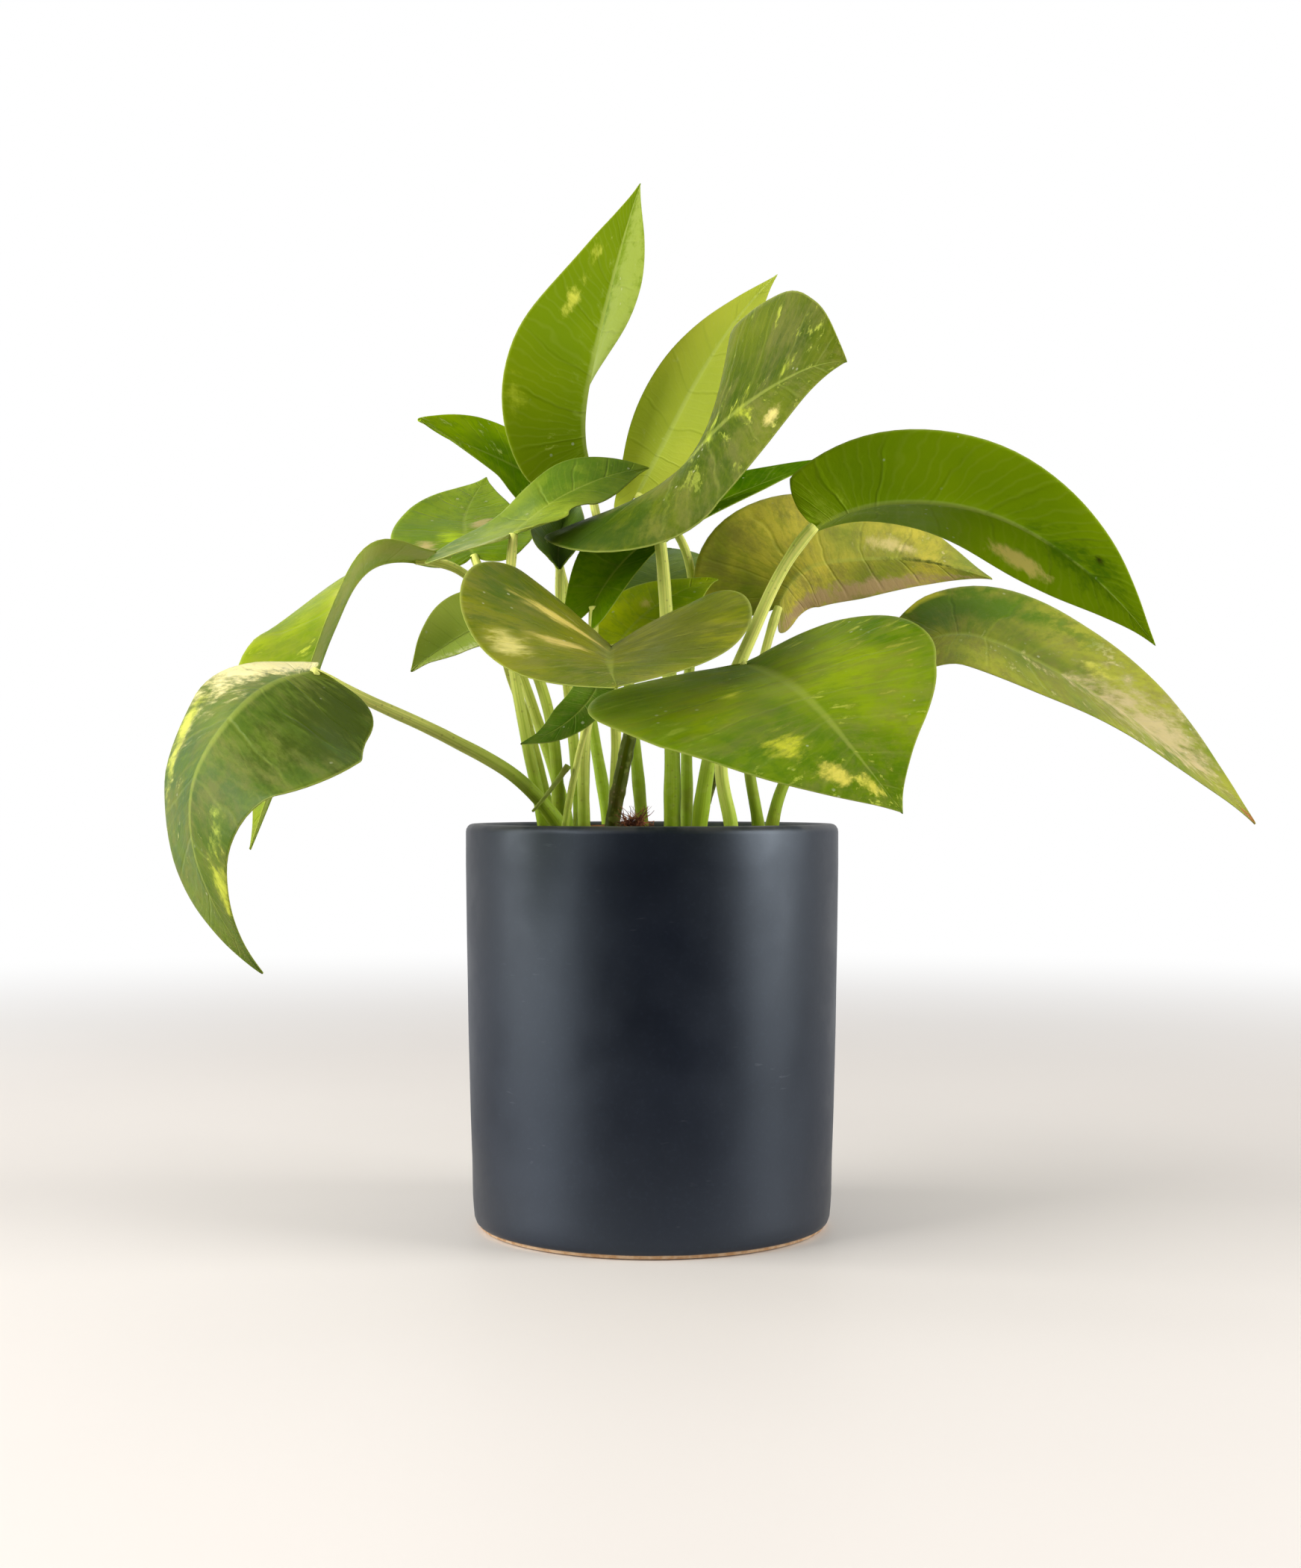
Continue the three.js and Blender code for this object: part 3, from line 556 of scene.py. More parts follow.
def sheath_mesh():
    """A papery strip, folded lengthwise and crumpled."""
    def radius(u, turn):
        fold = 0.55 + 0.45 * abs(math.cos(turn))
        crumple = 1 + 0.2 * noise.noise(Vector((u * 9, math.cos(turn) * 2, 3.0)))
        return SHEATH_THICKNESS / 2 * (1 - 0.6 * u) * fold * crumple
    return tube_mesh(SHEATH_PATH, radius, steps=30, sides=14)


# ---------------------------------------------------------------- pot and soil shapes

def ring_points(radius, z, sides):
    turns = [2 * math.pi * j / sides for j in range(sides)]
    return [Vector((radius * math.cos(turn), radius * math.sin(turn), z)) for turn in turns]


def turned_faces(rings, sides):
    """Faces of a closed turned shape: one corner below, rings of corners, one corner above."""
    faces, top = [], 1 + rings * sides
    for j in range(sides):
        k = (j + 1) % sides
        faces.append((0, 1 + k, 1 + j))
        faces.append((top, 1 + (rings - 1) * sides + j, 1 + (rings - 1) * sides + k))
        for i in range(rings - 1):
            a, b = 1 + i * sides, 1 + (i + 1) * sides
            faces.append((a + j, a + k, b + k, b + j))
    return faces


def turned_mesh(profile, sides):
    """A closed turned shape from (radius, height) pairs that start and end on the axis."""
    points = [Vector((0, 0, profile[0][1]))]
    for radius, z in profile[1:-1]:
        points.extend(ring_points(radius, z, sides))
    points.append(Vector((0, 0, profile[-1][1])))
    return points, turned_faces(len(profile) - 2, sides)


def pot_profile():
    """Section of the pot from the middle of its base, up the outside and down the inside."""
    inner_rim, inner_low = RIM_RADIUS - POT_WALL, LOW_RADIUS - POT_WALL
    rim = [(RIM_RADIUS, POT_HEIGHT - 2.4), (RIM_RADIUS - 0.14, POT_HEIGHT - 1.5),
           (RIM_RADIUS - 0.6, POT_HEIGHT - 0.7), (RIM_RADIUS - 1.2, POT_HEIGHT - 0.2),
           (RIM_RADIUS - 1.9, POT_HEIGHT), (RIM_RADIUS - 2.7, POT_HEIGHT - 0.15),
           (RIM_RADIUS - 3.3, POT_HEIGHT - 0.5), (RIM_RADIUS - 3.8, POT_HEIGHT - 1.2)]
    return [(0, 0), (30, 0), (FOOT_RADIUS - 0.6, 0), (FOOT_RADIUS, 0.05),
            (FOOT_RADIUS + 0.5, 0.25), (FOOT_RADIUS + 0.7, FOOT_LINE - 0.1),
            (FOOT_RADIUS + 1.0, FOOT_LINE), (FOOT_RADIUS + 1.5, FOOT_LINE + 0.5),
            (LOW_RADIUS - 0.2, 3), (LOW_RADIUS + 0.1, 6), (LOW_RADIUS + 0.3, 9),
            (BELLY_RADIUS - 1.1, 20), (BELLY_RADIUS - 0.6, 34), (BELLY_RADIUS, 58),
            (BELLY_RADIUS + 0.5, 86), (RIM_RADIUS, 108), *rim, (inner_rim, POT_HEIGHT - 2),
            (inner_rim - 0.1, 108), (BELLY_RADIUS - POT_WALL, 58), (inner_low, 12),
            (inner_low - 0.5, 8.5), (inner_low - 2, POT_FLOOR + 1.2), (inner_low - 6, POT_FLOOR),
            (0, POT_FLOOR)]


def soil_height(x, y):
    """Height of the soil at a point: a low mound with lumps and crumbs."""
    share = min(math.hypot(x, y) / RIM_RADIUS, 1)
    lumps = math.sin(x * 0.23 + 1) * math.cos(y * 0.19) + 0.6 * math.sin(x * 0.41 - y * 0.37)
    crumbs = noise.noise(Vector((x * 0.35, y * 0.35, 5))) + 0.5 * noise.noise(
        Vector((x * 1.1, y * 1.1, 9)))
    return (SOIL_EDGE_Z + SOIL_MOUND * (1 - share * share)
            + 0.7 * lumps * (1 - share ** 3) + 0.7 * crumbs)


def soil_mesh(rings=44, sides=150):
    """The soil body: two plain rings down in the pot and many across its lumpy top."""
    radius = RIM_RADIUS - POT_WALL - 0.7
    low = POT_FLOOR + 0.5
    points = [Vector((0, 0, low))]
    points.extend(ring_points(LOW_RADIUS - POT_WALL - 3, low + 2, sides))
    points.extend(ring_points(BELLY_RADIUS - POT_WALL - 0.8, 58, sides))
    for i in range(rings, 0, -1):
        for j in range(sides):
            turn = 2 * math.pi * j / sides
            x, y = radius * i / rings * math.cos(turn), radius * i / rings * math.sin(turn)
            points.append(Vector((x, y, soil_height(x, y))))
    points.append(Vector((0, 0, soil_height(0, 0))))
    return points, turned_faces(rings + 2, sides)


# A ball of 12 corners and 20 faces, the start of every crumb.
GOLD = (1 + math.sqrt(5)) / 2
BALL = [Vector(p).normalized() for p in (
    (-1, GOLD, 0), (1, GOLD, 0), (-1, -GOLD, 0), (1, -GOLD, 0), (0, -1, GOLD), (0, 1, GOLD),
    (0, -1, -GOLD), (0, 1, -GOLD), (GOLD, 0, -1), (GOLD, 0, 1), (-GOLD, 0, -1), (-GOLD, 0, 1))]
BALL_FACES = [
    (0, 11, 5), (0, 5, 1), (0, 1, 7), (0, 7, 10), (0, 10, 11), (1, 5, 9), (5, 11, 4),
    (11, 10, 2), (10, 7, 6), (7, 1, 8), (3, 9, 4), (3, 4, 2), (3, 2, 6), (3, 6, 8), (3, 8, 9),
    (4, 9, 5), (2, 4, 11), (6, 2, 10), (8, 6, 7), (9, 8, 1)]


def crumbs_mesh(count, largest, dice):
    """Loose crumbs and bark chips lying on the soil, and a shade for each."""
    points, faces, shades = [], [], []
    while count:
        x = dice.uniform(-CRUMB_FIELD, CRUMB_FIELD)
        y = dice.uniform(-CRUMB_FIELD, CRUMB_FIELD)
        if math.hypot(x, y) > CRUMB_REACH:
            continue
        count -= 1
        size = SMALLEST_CRUMB + (largest - SMALLEST_CRUMB) * dice.random() ** 3
        squash = Vector((dice.uniform(0.6, 1.6), dice.uniform(0.5, 1.1), dice.uniform(0.4, 0.8)))
        turn = dice.uniform(0, math.pi)
        at = Vector((x, y, soil_height(x, y) + size * 0.12))
        start, shade = len(points), dice.random()
        for corner in BALL:
            p = corner * (size * dice.uniform(0.75, 1.15))
            p = Vector((p.x * squash.x, p.y * squash.y, p.z * squash.z))
            points.append(at + Vector((p.x * math.cos(turn) - p.y * math.sin(turn),
                                       p.x * math.sin(turn) + p.y * math.cos(turn), p.z)))
            shades.append(shade)
        faces.extend(tuple(start + i for i in f) for f in BALL_FACES)
    return points, faces, {"shade": shades}


def chip_mesh():
    """A chip of bark: a flattened splinter with layered ridges."""
    low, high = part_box("bark_chip")
    centre, size = (low + high) / 2 / MM, (high - low) / MM
    points, faces = [], []
    rings, sides = 40, 36
    for i in range(rings + 1):
        x = -math.cos(math.pi * i / rings)
        for j in range(sides):
            turn = 2 * math.pi * j / sides
            r = math.sqrt(max(1 - abs(x) ** 3.2, 0))
            y, z = r * math.cos(turn), r * math.sin(turn)
            layer = 0.06 * math.sin(z * 17 + 3 * noise.noise(Vector((x * 2, y * 2, 1))))
            rough = 0.1 * noise.noise(Vector((x * 4, y * 5, z * 5)))
            grow = 0.9 + layer + rough
            points.append(centre + Vector((x * size.x * 0.48, y * size.y * 0.46 * grow,
                                           z * size.z * 0.46 * grow)))
    for i in range(rings):
        for j in range(sides):
            a, b = i * sides + j, i * sides + (j + 1) % sides
            faces.append((a, a + sides, b + sides, b))
    faces.append(tuple(range(sides)))
    faces.append(tuple(rings * sides + j for j in reversed(range(sides))))
    return points, faces


def tuft_mesh(dice, fibres=260):
    """A tuft of coir: many thin curled fibres round a loose core."""
    low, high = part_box("coir_tuft")
    centre, size = (low + high) / 2 / MM, (high - low) / MM
    points, faces = [], []
    steps, sides = 9, 5
    for _ in range(fibres):
        heading = Vector((dice.gauss(0, 1), dice.gauss(0, 1), dice.gauss(0, 0.8))).normalized()
        start = Vector([dice.uniform(-0.3, 0.3) * s for s in size])
        bend = Vector((dice.gauss(0, 1), dice.gauss(0, 1), dice.gauss(0, 1))) * 0.5
        reach = dice.uniform(0.35, 0.75)
        thick = dice.uniform(0.09, 0.2)
        route = []
        for i in range(steps + 1):
            u = i / steps
            p = start + Vector([h * s * reach * u for h, s in zip(heading, size)]) + bend * (u * u)
            p += Vector((math.sin(u * 5 + thick * 90), math.cos(u * 4 + thick * 70), 0)) * 0.35
            route.append(centre + Vector([clamp(c, -s * 0.7, s * 0.7) for c, s in zip(p, size)]))
        made = tube_mesh(route[::3], lambda u, turn: thick * (1 - 0.6 * u), steps, sides)
        base = len(points)
        points.extend(made[0])
        faces.extend(tuple(base + i for i in f) for f in made[1])
    return points, faces


# ---------------------------------------------------------------- node wiring

class Wiring:
    """Adds nodes to one tree; any input takes a plain value or another node's socket."""

    def __init__(self, tree):
        self.tree = tree

    def node(self, kind, inputs=None, **settings):
        made = self.tree.nodes.new(kind)
        for key, value in settings.items():
            setattr(made, key, value)
        for key, value in (inputs or {}).items():
            if isinstance(value, bpy.types.NodeSocket):
                self.tree.links.new(value, made.inputs[key])
            else:
                made.inputs[key].default_value = value
        return made

    def maths(self, operation, a, b=0.0):
        return self.node("ShaderNodeMath", {0: a, 1: b}, operation=operation).outputs[0]

    def add(self, a, b):
        return self.maths("ADD", a, b)

    def times(self, a, b):
        return self.maths("MULTIPLY", a, b)

    def between(self, value, low, high, start=0.0, end=1.0):
        """Smoothly from start to end as value goes from low to high."""
        return self.node("ShaderNodeMapRange",
                         {0: value, 1: low, 2: high, 3: start, 4: end},
                         interpolation_type="SMOOTHSTEP").outputs[0]

    def mix(self, share, a, b, way="MIX"):
        return self.node("ShaderNodeMix", {0: share, 6: a, 7: b},
                         data_type="RGBA", blend_type=way).outputs[2]

    def grain(self, vector, scale, detail=3.0, rough=0.5):
        return self.node("ShaderNodeTexNoise", {"Vector": vector, "Scale": scale,
                         "Detail": detail, "Roughness": rough}).outputs[0]

    def place(self):
        return self.node("ShaderNodeTexCoord").outputs["Object"]

    def join(self, x, y, z):
        return self.node("ShaderNodeCombineXYZ", {0: x, 1: y, 2: z}).outputs[0]

    def split(self, vector):
        return self.node("ShaderNodeSeparateXYZ", {0: vector}).outputs

    def blade_uv(self):
        uv = self.node("ShaderNodeUVMap", uv_map="blade").outputs[0]
        return self.split(uv)

    def bumped(self, height, strength, distance):
        return self.node("ShaderNodeBump", {"Height": height, "Strength": strength,
                         "Distance": distance}).outputs[0]


def new_group(name, inputs, outputs):
    """An empty shader node group with named sockets, and the ends to wire to."""
    tree = bpy.data.node_groups.new(name, "ShaderNodeTree")
    kinds = {float: "NodeSocketFloat", tuple: "NodeSocketColor"}
    for key, value in inputs.items():
        socket = tree.interface.new_socket(key, in_out="INPUT", socket_type=kinds[type(value)])
        socket.default_value = value
    for key, kind in outputs.items():
        tree.interface.new_socket(key, in_out="OUTPUT", socket_type=kinds[kind])
    wire = Wiring(tree)
    return wire, wire.node("NodeGroupInput").outputs, wire.node("NodeGroupOutput")


def new_material(name):
    """An empty material with its wiring and its Principled shader."""
    material = bpy.data.materials.new(name)
    material.use_nodes = True
    tree = material.node_tree
    return material, Wiring(tree), tree.nodes["Principled BSDF"]


def connect(wire, shader, **sockets):
    """Set or link a shader's sockets by name, with _ for each space."""
    for key, value in sockets.items():
        target = shader.inputs[key.replace("_", " ")]
        if isinstance(value, bpy.types.NodeSocket):
            wire.tree.links.new(value, target)
        else:
            target.default_value = value


# ---------------------------------------------------------------- shared effects

def leaf_skin_group():
    """Colour, gloss and relief of a pothos leaf, upper and under side, with cream streaks."""
    if "Leaf skin" in bpy.data.node_groups:
        return bpy.data.node_groups["Leaf skin"]
    wire, given, end = new_group(
        "Leaf skin",
        {"Upper": (0.1, 0.2, 0.02, 1.0), "Underside": (0.2, 0.3, 0.05, 1.0),
         "Fleck": (0.7, 0.7, 0.2, 1.0), "Flecks": 0.3, "Bronze": 0.3, "Seed": 0.0},
        {"Colour": tuple, "Roughness": float, "Height": float})
    u, s, _ = wire.blade_uv()
    place = wire.place()
    seed = given["Seed"]
    moved = wire.node("ShaderNodeVectorMath", {0: place, 1: wire.join(seed, seed, seed)},
                      operation="ADD").outputs[0]
    v = wire.times(wire.maths("ABSOLUTE", wire.maths("SUBTRACT", u, 0.5)), 2.0)
    wobble = wire.maths("SUBTRACT", wire.grain(moved, 70.0, 2.0), 0.5)
    # side veins, the finer ones between them, and the midrib
    run = wire.add(wire.times(s, float(VEINS)), wire.times(wobble, 0.35))
    vein = wire.between(wire.maths("PINGPONG", run, 0.5), 0.0, 0.06, 1.0, 0.0)
    vein = wire.times(vein, wire.between(v, 0.7, 1.0, 1.0, 0.2))
    fine_run = wire.add(wire.times(s, VEINS * 5.0), wire.times(wobble, 3.0))
    fine = wire.between(wire.maths("PINGPONG", fine_run, 0.5), 0.0, 0.22, 1.0, 0.0)
    midrib = wire.between(v, 0.012, 0.055, 1.0, 0.0)
    # streaks that follow the side veins
    streaks = wire.join(wire.times(s, 40.0), wire.times(u, 6.0), seed)
    streak = wire.grain(streaks, 1.0, 6.0, 0.7)
    islands = wire.grain(moved, 42.0, 3.0, 0.6)
    cloud = wire.grain(moved, 26.0, 2.0)
    mottle = wire.grain(moved, 150.0, 5.0, 0.65)

    # upper side
    deep = wire.mix(1.0, given["Upper"], (0.48, 0.6, 0.4, 1.0), "MULTIPLY")
    fresh = wire.mix(1.0, given["Upper"], (1.4, 1.2, 1.0, 1.0), "MULTIPLY")
    upper = wire.mix(wire.between(cloud, 0.36, 0.64), deep, fresh)
    dapple = wire.between(mottle, 0.42, 0.62, 0.0, 0.3)
    upper = wire.mix(dapple, upper, fresh)
    upper = wire.mix(wire.between(streak, 0.46, 0.62, 0.0, 0.45), upper, deep)
    bronze_share = wire.times(wire.between(wire.grain(streaks, 0.6, 7.0, 0.75), 0.42, 0.66),
                              wire.times(given["Bronze"], 0.75))
    upper = wire.mix(bronze_share, upper, BRONZE)
    upper = wire.mix(wire.times(fine, 0.06), upper, FINE_VEIN)
    upper = wire.mix(wire.times(vein, 0.1), upper, SIDE_VEIN)
    upper = wire.mix(wire.times(midrib, 0.35), upper, MIDRIB)
    # under side, paler and flatter
    dull = wire.mix(1.0, given["Underside"], (0.8, 0.86, 0.8, 1.0), "MULTIPLY")
    under = wire.mix(wire.between(cloud, 0.35, 0.65), dull, given["Underside"])
    under = wire.mix(wire.times(vein, 0.22), under,
                     wire.mix(1.0, given["Underside"], (0.6, 0.68, 0.5, 1.0), "MULTIPLY"))
    under = wire.mix(wire.times(fine, 0.08), under, UNDER_VEIN)
    under = wire.mix(wire.times(midrib, 0.5), under, UNDER_RIB)
    side = wire.node("ShaderNodeAttribute", attribute_name="under").outputs["Fac"]
    skin = wire.mix(side, upper, under)

    # scattered flecks, then the leaf's own larger patches, one of which (on right_high) is painted
    # light
    limit = wire.maths("SUBTRACT", 0.78, wire.times(given["Flecks"], 0.36))
    near = wire.add(wire.times(streak, 0.84), wire.times(islands, 0.24))
    fleck = wire.between(wire.maths("SUBTRACT", near, limit), -0.02, 0.08)
    fleck = wire.times(fleck, wire.between(side, 0.0, 1.0, 0.62, 0.35))
    skin = wire.mix(fleck, skin, given["Fleck"])
    patch = wire.node("ShaderNodeAttribute", attribute_name="patch").outputs
    torn = wire.add(wire.times(wire.maths("SUBTRACT", streak, 0.5), 2.2), patch["Alpha"])
    skin = wire.mix(wire.between(torn, 0.22, 0.95, 0.0, 0.92), skin, patch["Color"])
    # pale dried drops and a thin pale margin
    drops = wire.node("ShaderNodeTexVoronoi", {"Vector": moved, "Scale": 210.0}).outputs[0]
    dot = wire.times(wire.between(drops, 0.07, 0.13, 1.0, 0.0),
                     wire.between(islands, 0.52, 0.6, 0.0, 0.4))
    skin = wire.mix(dot, skin, DRIED_DROP)
    skin = wire.mix(wire.between(v, 0.98, 1.0, 0.0, 0.4), skin, PALE_MARGIN)

    rough = wire.between(mottle, 0.3, 0.7, 0.3, 0.46)
    rough = wire.add(rough, wire.times(bronze_share, 0.25))
    rough = wire.add(rough, wire.times(side, 0.18))
    relief = wire.add(wire.times(vein, -0.7), wire.times(fine, -0.12))
    flip = wire.between(side, 0.0, 1.0, 1.0, -1.0)
    relief = wire.add(wire.times(relief, flip), wire.add(wire.times(mottle, 0.6),
                                                        wire.times(streak, 0.9)))
    for key, value in (("Colour", skin), ("Roughness", rough), ("Height", relief)):
        wire.tree.links.new(value, end.inputs[key])
    return wire.tree


def stalk_skin_group():
    """Colour, gloss and relief of a stalk or stem: long streaks, specks and a stained foot."""
    if "Stalk skin" in bpy.data.node_groups:
        return bpy.data.node_groups["Stalk skin"]
    wire, given, end = new_group(
        "Stalk skin",
        {"Top": (0.4, 0.5, 0.1, 1.0), "Foot": (0.3, 0.4, 0.08, 1.0),
         "Stain": (0.1, 0.08, 0.03, 1.0), "Stained": 0.3, "Seed": 0.0},
        {"Colour": tuple, "Roughness": float, "Height": float})
    u, s, _ = wire.blade_uv()
    place = wire.place()
    lines = wire.grain(wire.join(wire.times(u, 26.0), wire.times(s, 3.0), given["Seed"]),
                       1.0, 4.0, 0.6)
    mottle = wire.grain(place, 260.0, 4.0, 0.6)
    patches = wire.grain(place, 75.0, 3.0, 0.6)
    skin = wire.mix(wire.between(s, 0.25, 0.85), given["Foot"], given["Top"])
    skin = wire.mix(wire.between(lines, 0.4, 0.6, 0.0, 0.5), skin,
                    wire.mix(1.0, skin, (0.5, 0.66, 0.3, 1.0), "MULTIPLY"))
    skin = wire.mix(wire.between(mottle, 0.52, 0.62, 0.0, 0.16), skin, STALK_FRECKLE)
    stain = wire.times(wire.between(patches, 0.5, 0.62),
                       wire.times(given["Stained"], wire.between(s, 0.15, 0.8, 1.0, 0.15)))
    skin = wire.mix(stain, skin, given["Stain"])
    specks = wire.node("ShaderNodeTexVoronoi", {"Vector": place, "Scale": 420.0}).outputs[0]
    speck = wire.times(wire.between(specks, 0.1, 0.2, 1.0, 0.0), given["Stained"])
    skin = wire.mix(speck, skin, STALK_SPECK)
    rough = wire.add(wire.between(mottle, 0.3, 0.7, 0.32, 0.5), wire.times(stain, 0.3))
    relief = wire.add(wire.times(lines, 0.7), wire.times(mottle, 0.3))
    for key, value in (("Colour", skin), ("Roughness", rough), ("Height", relief)):
        wire.tree.links.new(value, end.inputs[key])
    return wire.tree


def wear_group():
    """Small scale dirt and scratches used on the pot and the loose bits."""
    if "Speckle and scuffs" in bpy.data.node_groups:
        return bpy.data.node_groups["Speckle and scuffs"]
    wire, given, end = new_group(
        "Speckle and scuffs", {"Size": 1.0, "Amount": 0.5},
        {"Speckle": float, "Scuffs": float, "Height": float})
    place = wire.place()
    fine = wire.grain(place, wire.times(given["Size"], 900.0), 3.0, 0.6)
    broad = wire.grain(place, wire.times(given["Size"], 45.0), 4.0, 0.6)
    x, y, z = wire.split(place)
    lines = wire.join(wire.times(x, 160.0), wire.times(y, 160.0), wire.times(z, 900.0))
    line = wire.grain(lines, wire.times(given["Size"], 1.0), 2.0, 0.5)
    scuffs = wire.times(wire.between(line, 0.68, 0.74),
                        wire.between(broad, 0.56, 0.68, 0.0, 1.0))
    speckle = wire.times(wire.between(fine, 0.5, 0.72), given["Amount"])
    relief = wire.add(wire.times(fine, 0.5), wire.times(broad, 0.5))
    for key, value in (("Speckle", speckle), ("Scuffs", scuffs), ("Height", relief)):
        wire.tree.links.new(value, end.inputs[key])
    return wire.tree


def group_node(wire, tree, values):
    """Place a node group with its own values; gives its outputs."""
    made = wire.node("ShaderNodeGroup", node_tree=tree)
    for key, value in values.items():
        made.inputs[key].default_value = value
    return made.outputs


# ---------------------------------------------------------------- materials

def leaf_material(name, leaf, seed, glow):
    """A leaf's own material: its colours and flecks from the leaf table, and a soft glow."""
    material, wire, shader = new_material("leaf_" + name)
    skin = group_node(wire, leaf_skin_group(), {
        "Upper": colour(leaf["upper"]), "Underside": colour(leaf["under"]),
        "Fleck": colour(leaf["fleck"]), "Flecks": leaf["flecks"], "Bronze": leaf["bronze"],
        "Seed": seed})
    connect(wire, shader, Base_Color=skin["Colour"], Roughness=skin["Roughness"],
            Normal=wire.bumped(skin["Height"], 0.45, 0.0004), Subsurface_Weight=glow,
            Subsurface_Radius=(1.0, 1.0, 0.2), Subsurface_Scale=0.002,
            Specular_IOR_Level=leaf.get("gloss", 0.1),
            Specular_Tint=(0.9, 1.0, 0.4, 1.0))
    return material


def stalk_material(name, top, foot, stain, stained, seed):
    """A stalk or stem that changes from its foot to its top, with stains near the soil."""
    material, wire, shader = new_material(name)
    skin = group_node(wire, stalk_skin_group(), {
        "Top": top, "Foot": foot, "Stain": stain, "Stained": stained, "Seed": seed})
    connect(wire, shader, Base_Color=skin["Colour"], Roughness=skin["Roughness"],
            Normal=wire.bumped(skin["Height"], 0.5, 0.0004), Subsurface_Weight=0.12,
            Subsurface_Radius=(0.8, 1.0, 0.3), Subsurface_Scale=0.002,
            Specular_IOR_Level=0.15, Specular_Tint=(0.9, 1.0, 0.5, 1.0))
    return material


def glaze_material(settings):
    """Matte slate glaze, paler where it thins over the rim, with a bare clay foot line."""
    material, wire, shader = new_material("slate_glaze")
    wear = group_node(wire, wear_group(), {"Size": 1.0, "Amount": settings.speckle})
    place = wire.place()
    z = wire.split(place)[2]
    soft = wire.grain(place, 18.0, 3.0)
    glaze = wire.mix(wire.between(soft, 0.3, 0.7), tuple(settings.glaze),
                     tuple(settings.glaze_light))
    glaze = wire.mix(wear["Speckle"], glaze, GLAZE_SPECKLE)
    glaze = wire.mix(wire.times(wear["Scuffs"], 0.25), glaze, GLAZE_SCUFF)
    top = wire.between(z, (POT_HEIGHT - 2.2) * MM, (POT_HEIGHT - 0.5) * MM, 0.0, 0.5)
    thin = wire.times(top, wire.between(wire.grain(place, 120.0), 0.3, 0.6))
    glaze = wire.mix(thin, glaze, RIM_GLAZE)
    bare = wire.between(wire.add(z, wire.times(wire.grain(place, 90.0), 0.0004)),
                        (FOOT_LINE + 0.1) * MM, (FOOT_LINE + 0.45) * MM, 1.0, 0.0)
    clay = wire.mix(wire.between(wire.grain(place, 500.0, 4.0), 0.35, 0.65),
                    tuple(settings.clay), SANDY_CLAY)
    skin = wire.mix(bare, glaze, clay)
    rough = wire.between(wire.grain(place, 70.0, 5.0, 0.6), 0.3, 0.7,
                         settings.gloss - 0.03, settings.gloss + 0.05)
    rough = wire.add(rough, wire.times(bare, 0.4))
    connect(wire, shader, Base_Color=skin, Roughness=rough,
            Normal=wire.bumped(wear["Height"], 0.12, 0.0002), Specular_IOR_Level=0.62,
            Specular_Tint=(0.75, 0.87, 1.0, 1.0))
    return material


def earth_material(name, dark, light, pale_share):
    """Crumbly brown matter; the shade attribute varies it from piece to piece."""
    material, wire, shader = new_material(name)
    wear = group_node(wire, wear_group(), {"Size": 0.9, "Amount": 0.6})
    place = wire.place()
    shade = wire.node("ShaderNodeAttribute", attribute_name="shade").outputs["Fac"]
    clump = wire.grain(place, 320.0, 6.0, 0.7)
    skin = wire.mix(wire.between(clump, 0.35, 0.65), dark, light)
    skin = wire.mix(wire.between(shade, 0.3, 1.0, 0.0, pale_share), skin,
                    PALE_CRUMB)
    skin = wire.mix(wire.times(wear["Speckle"], 0.5), skin, DUSTY_SOIL)
    rough = wire.between(clump, 0.3, 0.7, 0.95, 0.75)
    connect(wire, shader, Base_Color=skin, Roughness=rough,
            Normal=wire.bumped(wire.add(clump, wear["Height"]), 0.8, 0.0006))
    return material


def bark_material():
    """Layered bark: bands of dark and light red-brown with tan flakes."""
    material, wire, shader = new_material("bark")
    place = wire.place()
    x, y, z = wire.split(place)
    layers = wire.grain(wire.join(wire.times(x, 130.0), wire.times(y, 420.0),
                                  wire.times(z, 900.0)), 1.0, 5.0, 0.65)
    flakes = wire.grain(place, 480.0, 4.0, 0.6)
    skin = wire.mix(wire.between(layers, 0.38, 0.62), colour("5a3018"), colour("a8683c"))
    skin = wire.mix(wire.between(flakes, 0.55, 0.68, 0.0, 0.6), skin, colour("9a7a58"))
    connect(wire, shader, Base_Color=skin,
            Roughness=wire.between(flakes, 0.3, 0.7, 0.9, 0.7),
            Normal=wire.bumped(wire.add(layers, flakes), 0.9, 0.0006))
    return material


def fibre_material():
    """Coir fibres, dark red-brown with paler strands."""
    material, wire, shader = new_material("coir_fibre")
    place = wire.place()
    strands = wire.grain(place, 300.0, 3.0, 0.6)
    skin = wire.mix(wire.between(strands, 0.42, 0.66), colour("5e2e16"), colour("b87040"))
    fuzz = wire.grain(place, 1500.0, 2.0)
    connect(wire, shader, Base_Color=skin,
            Roughness=wire.between(strands, 0.3, 0.7, 0.9, 0.65),
            Normal=wire.bumped(fuzz, 0.5, 0.0002))
    return material


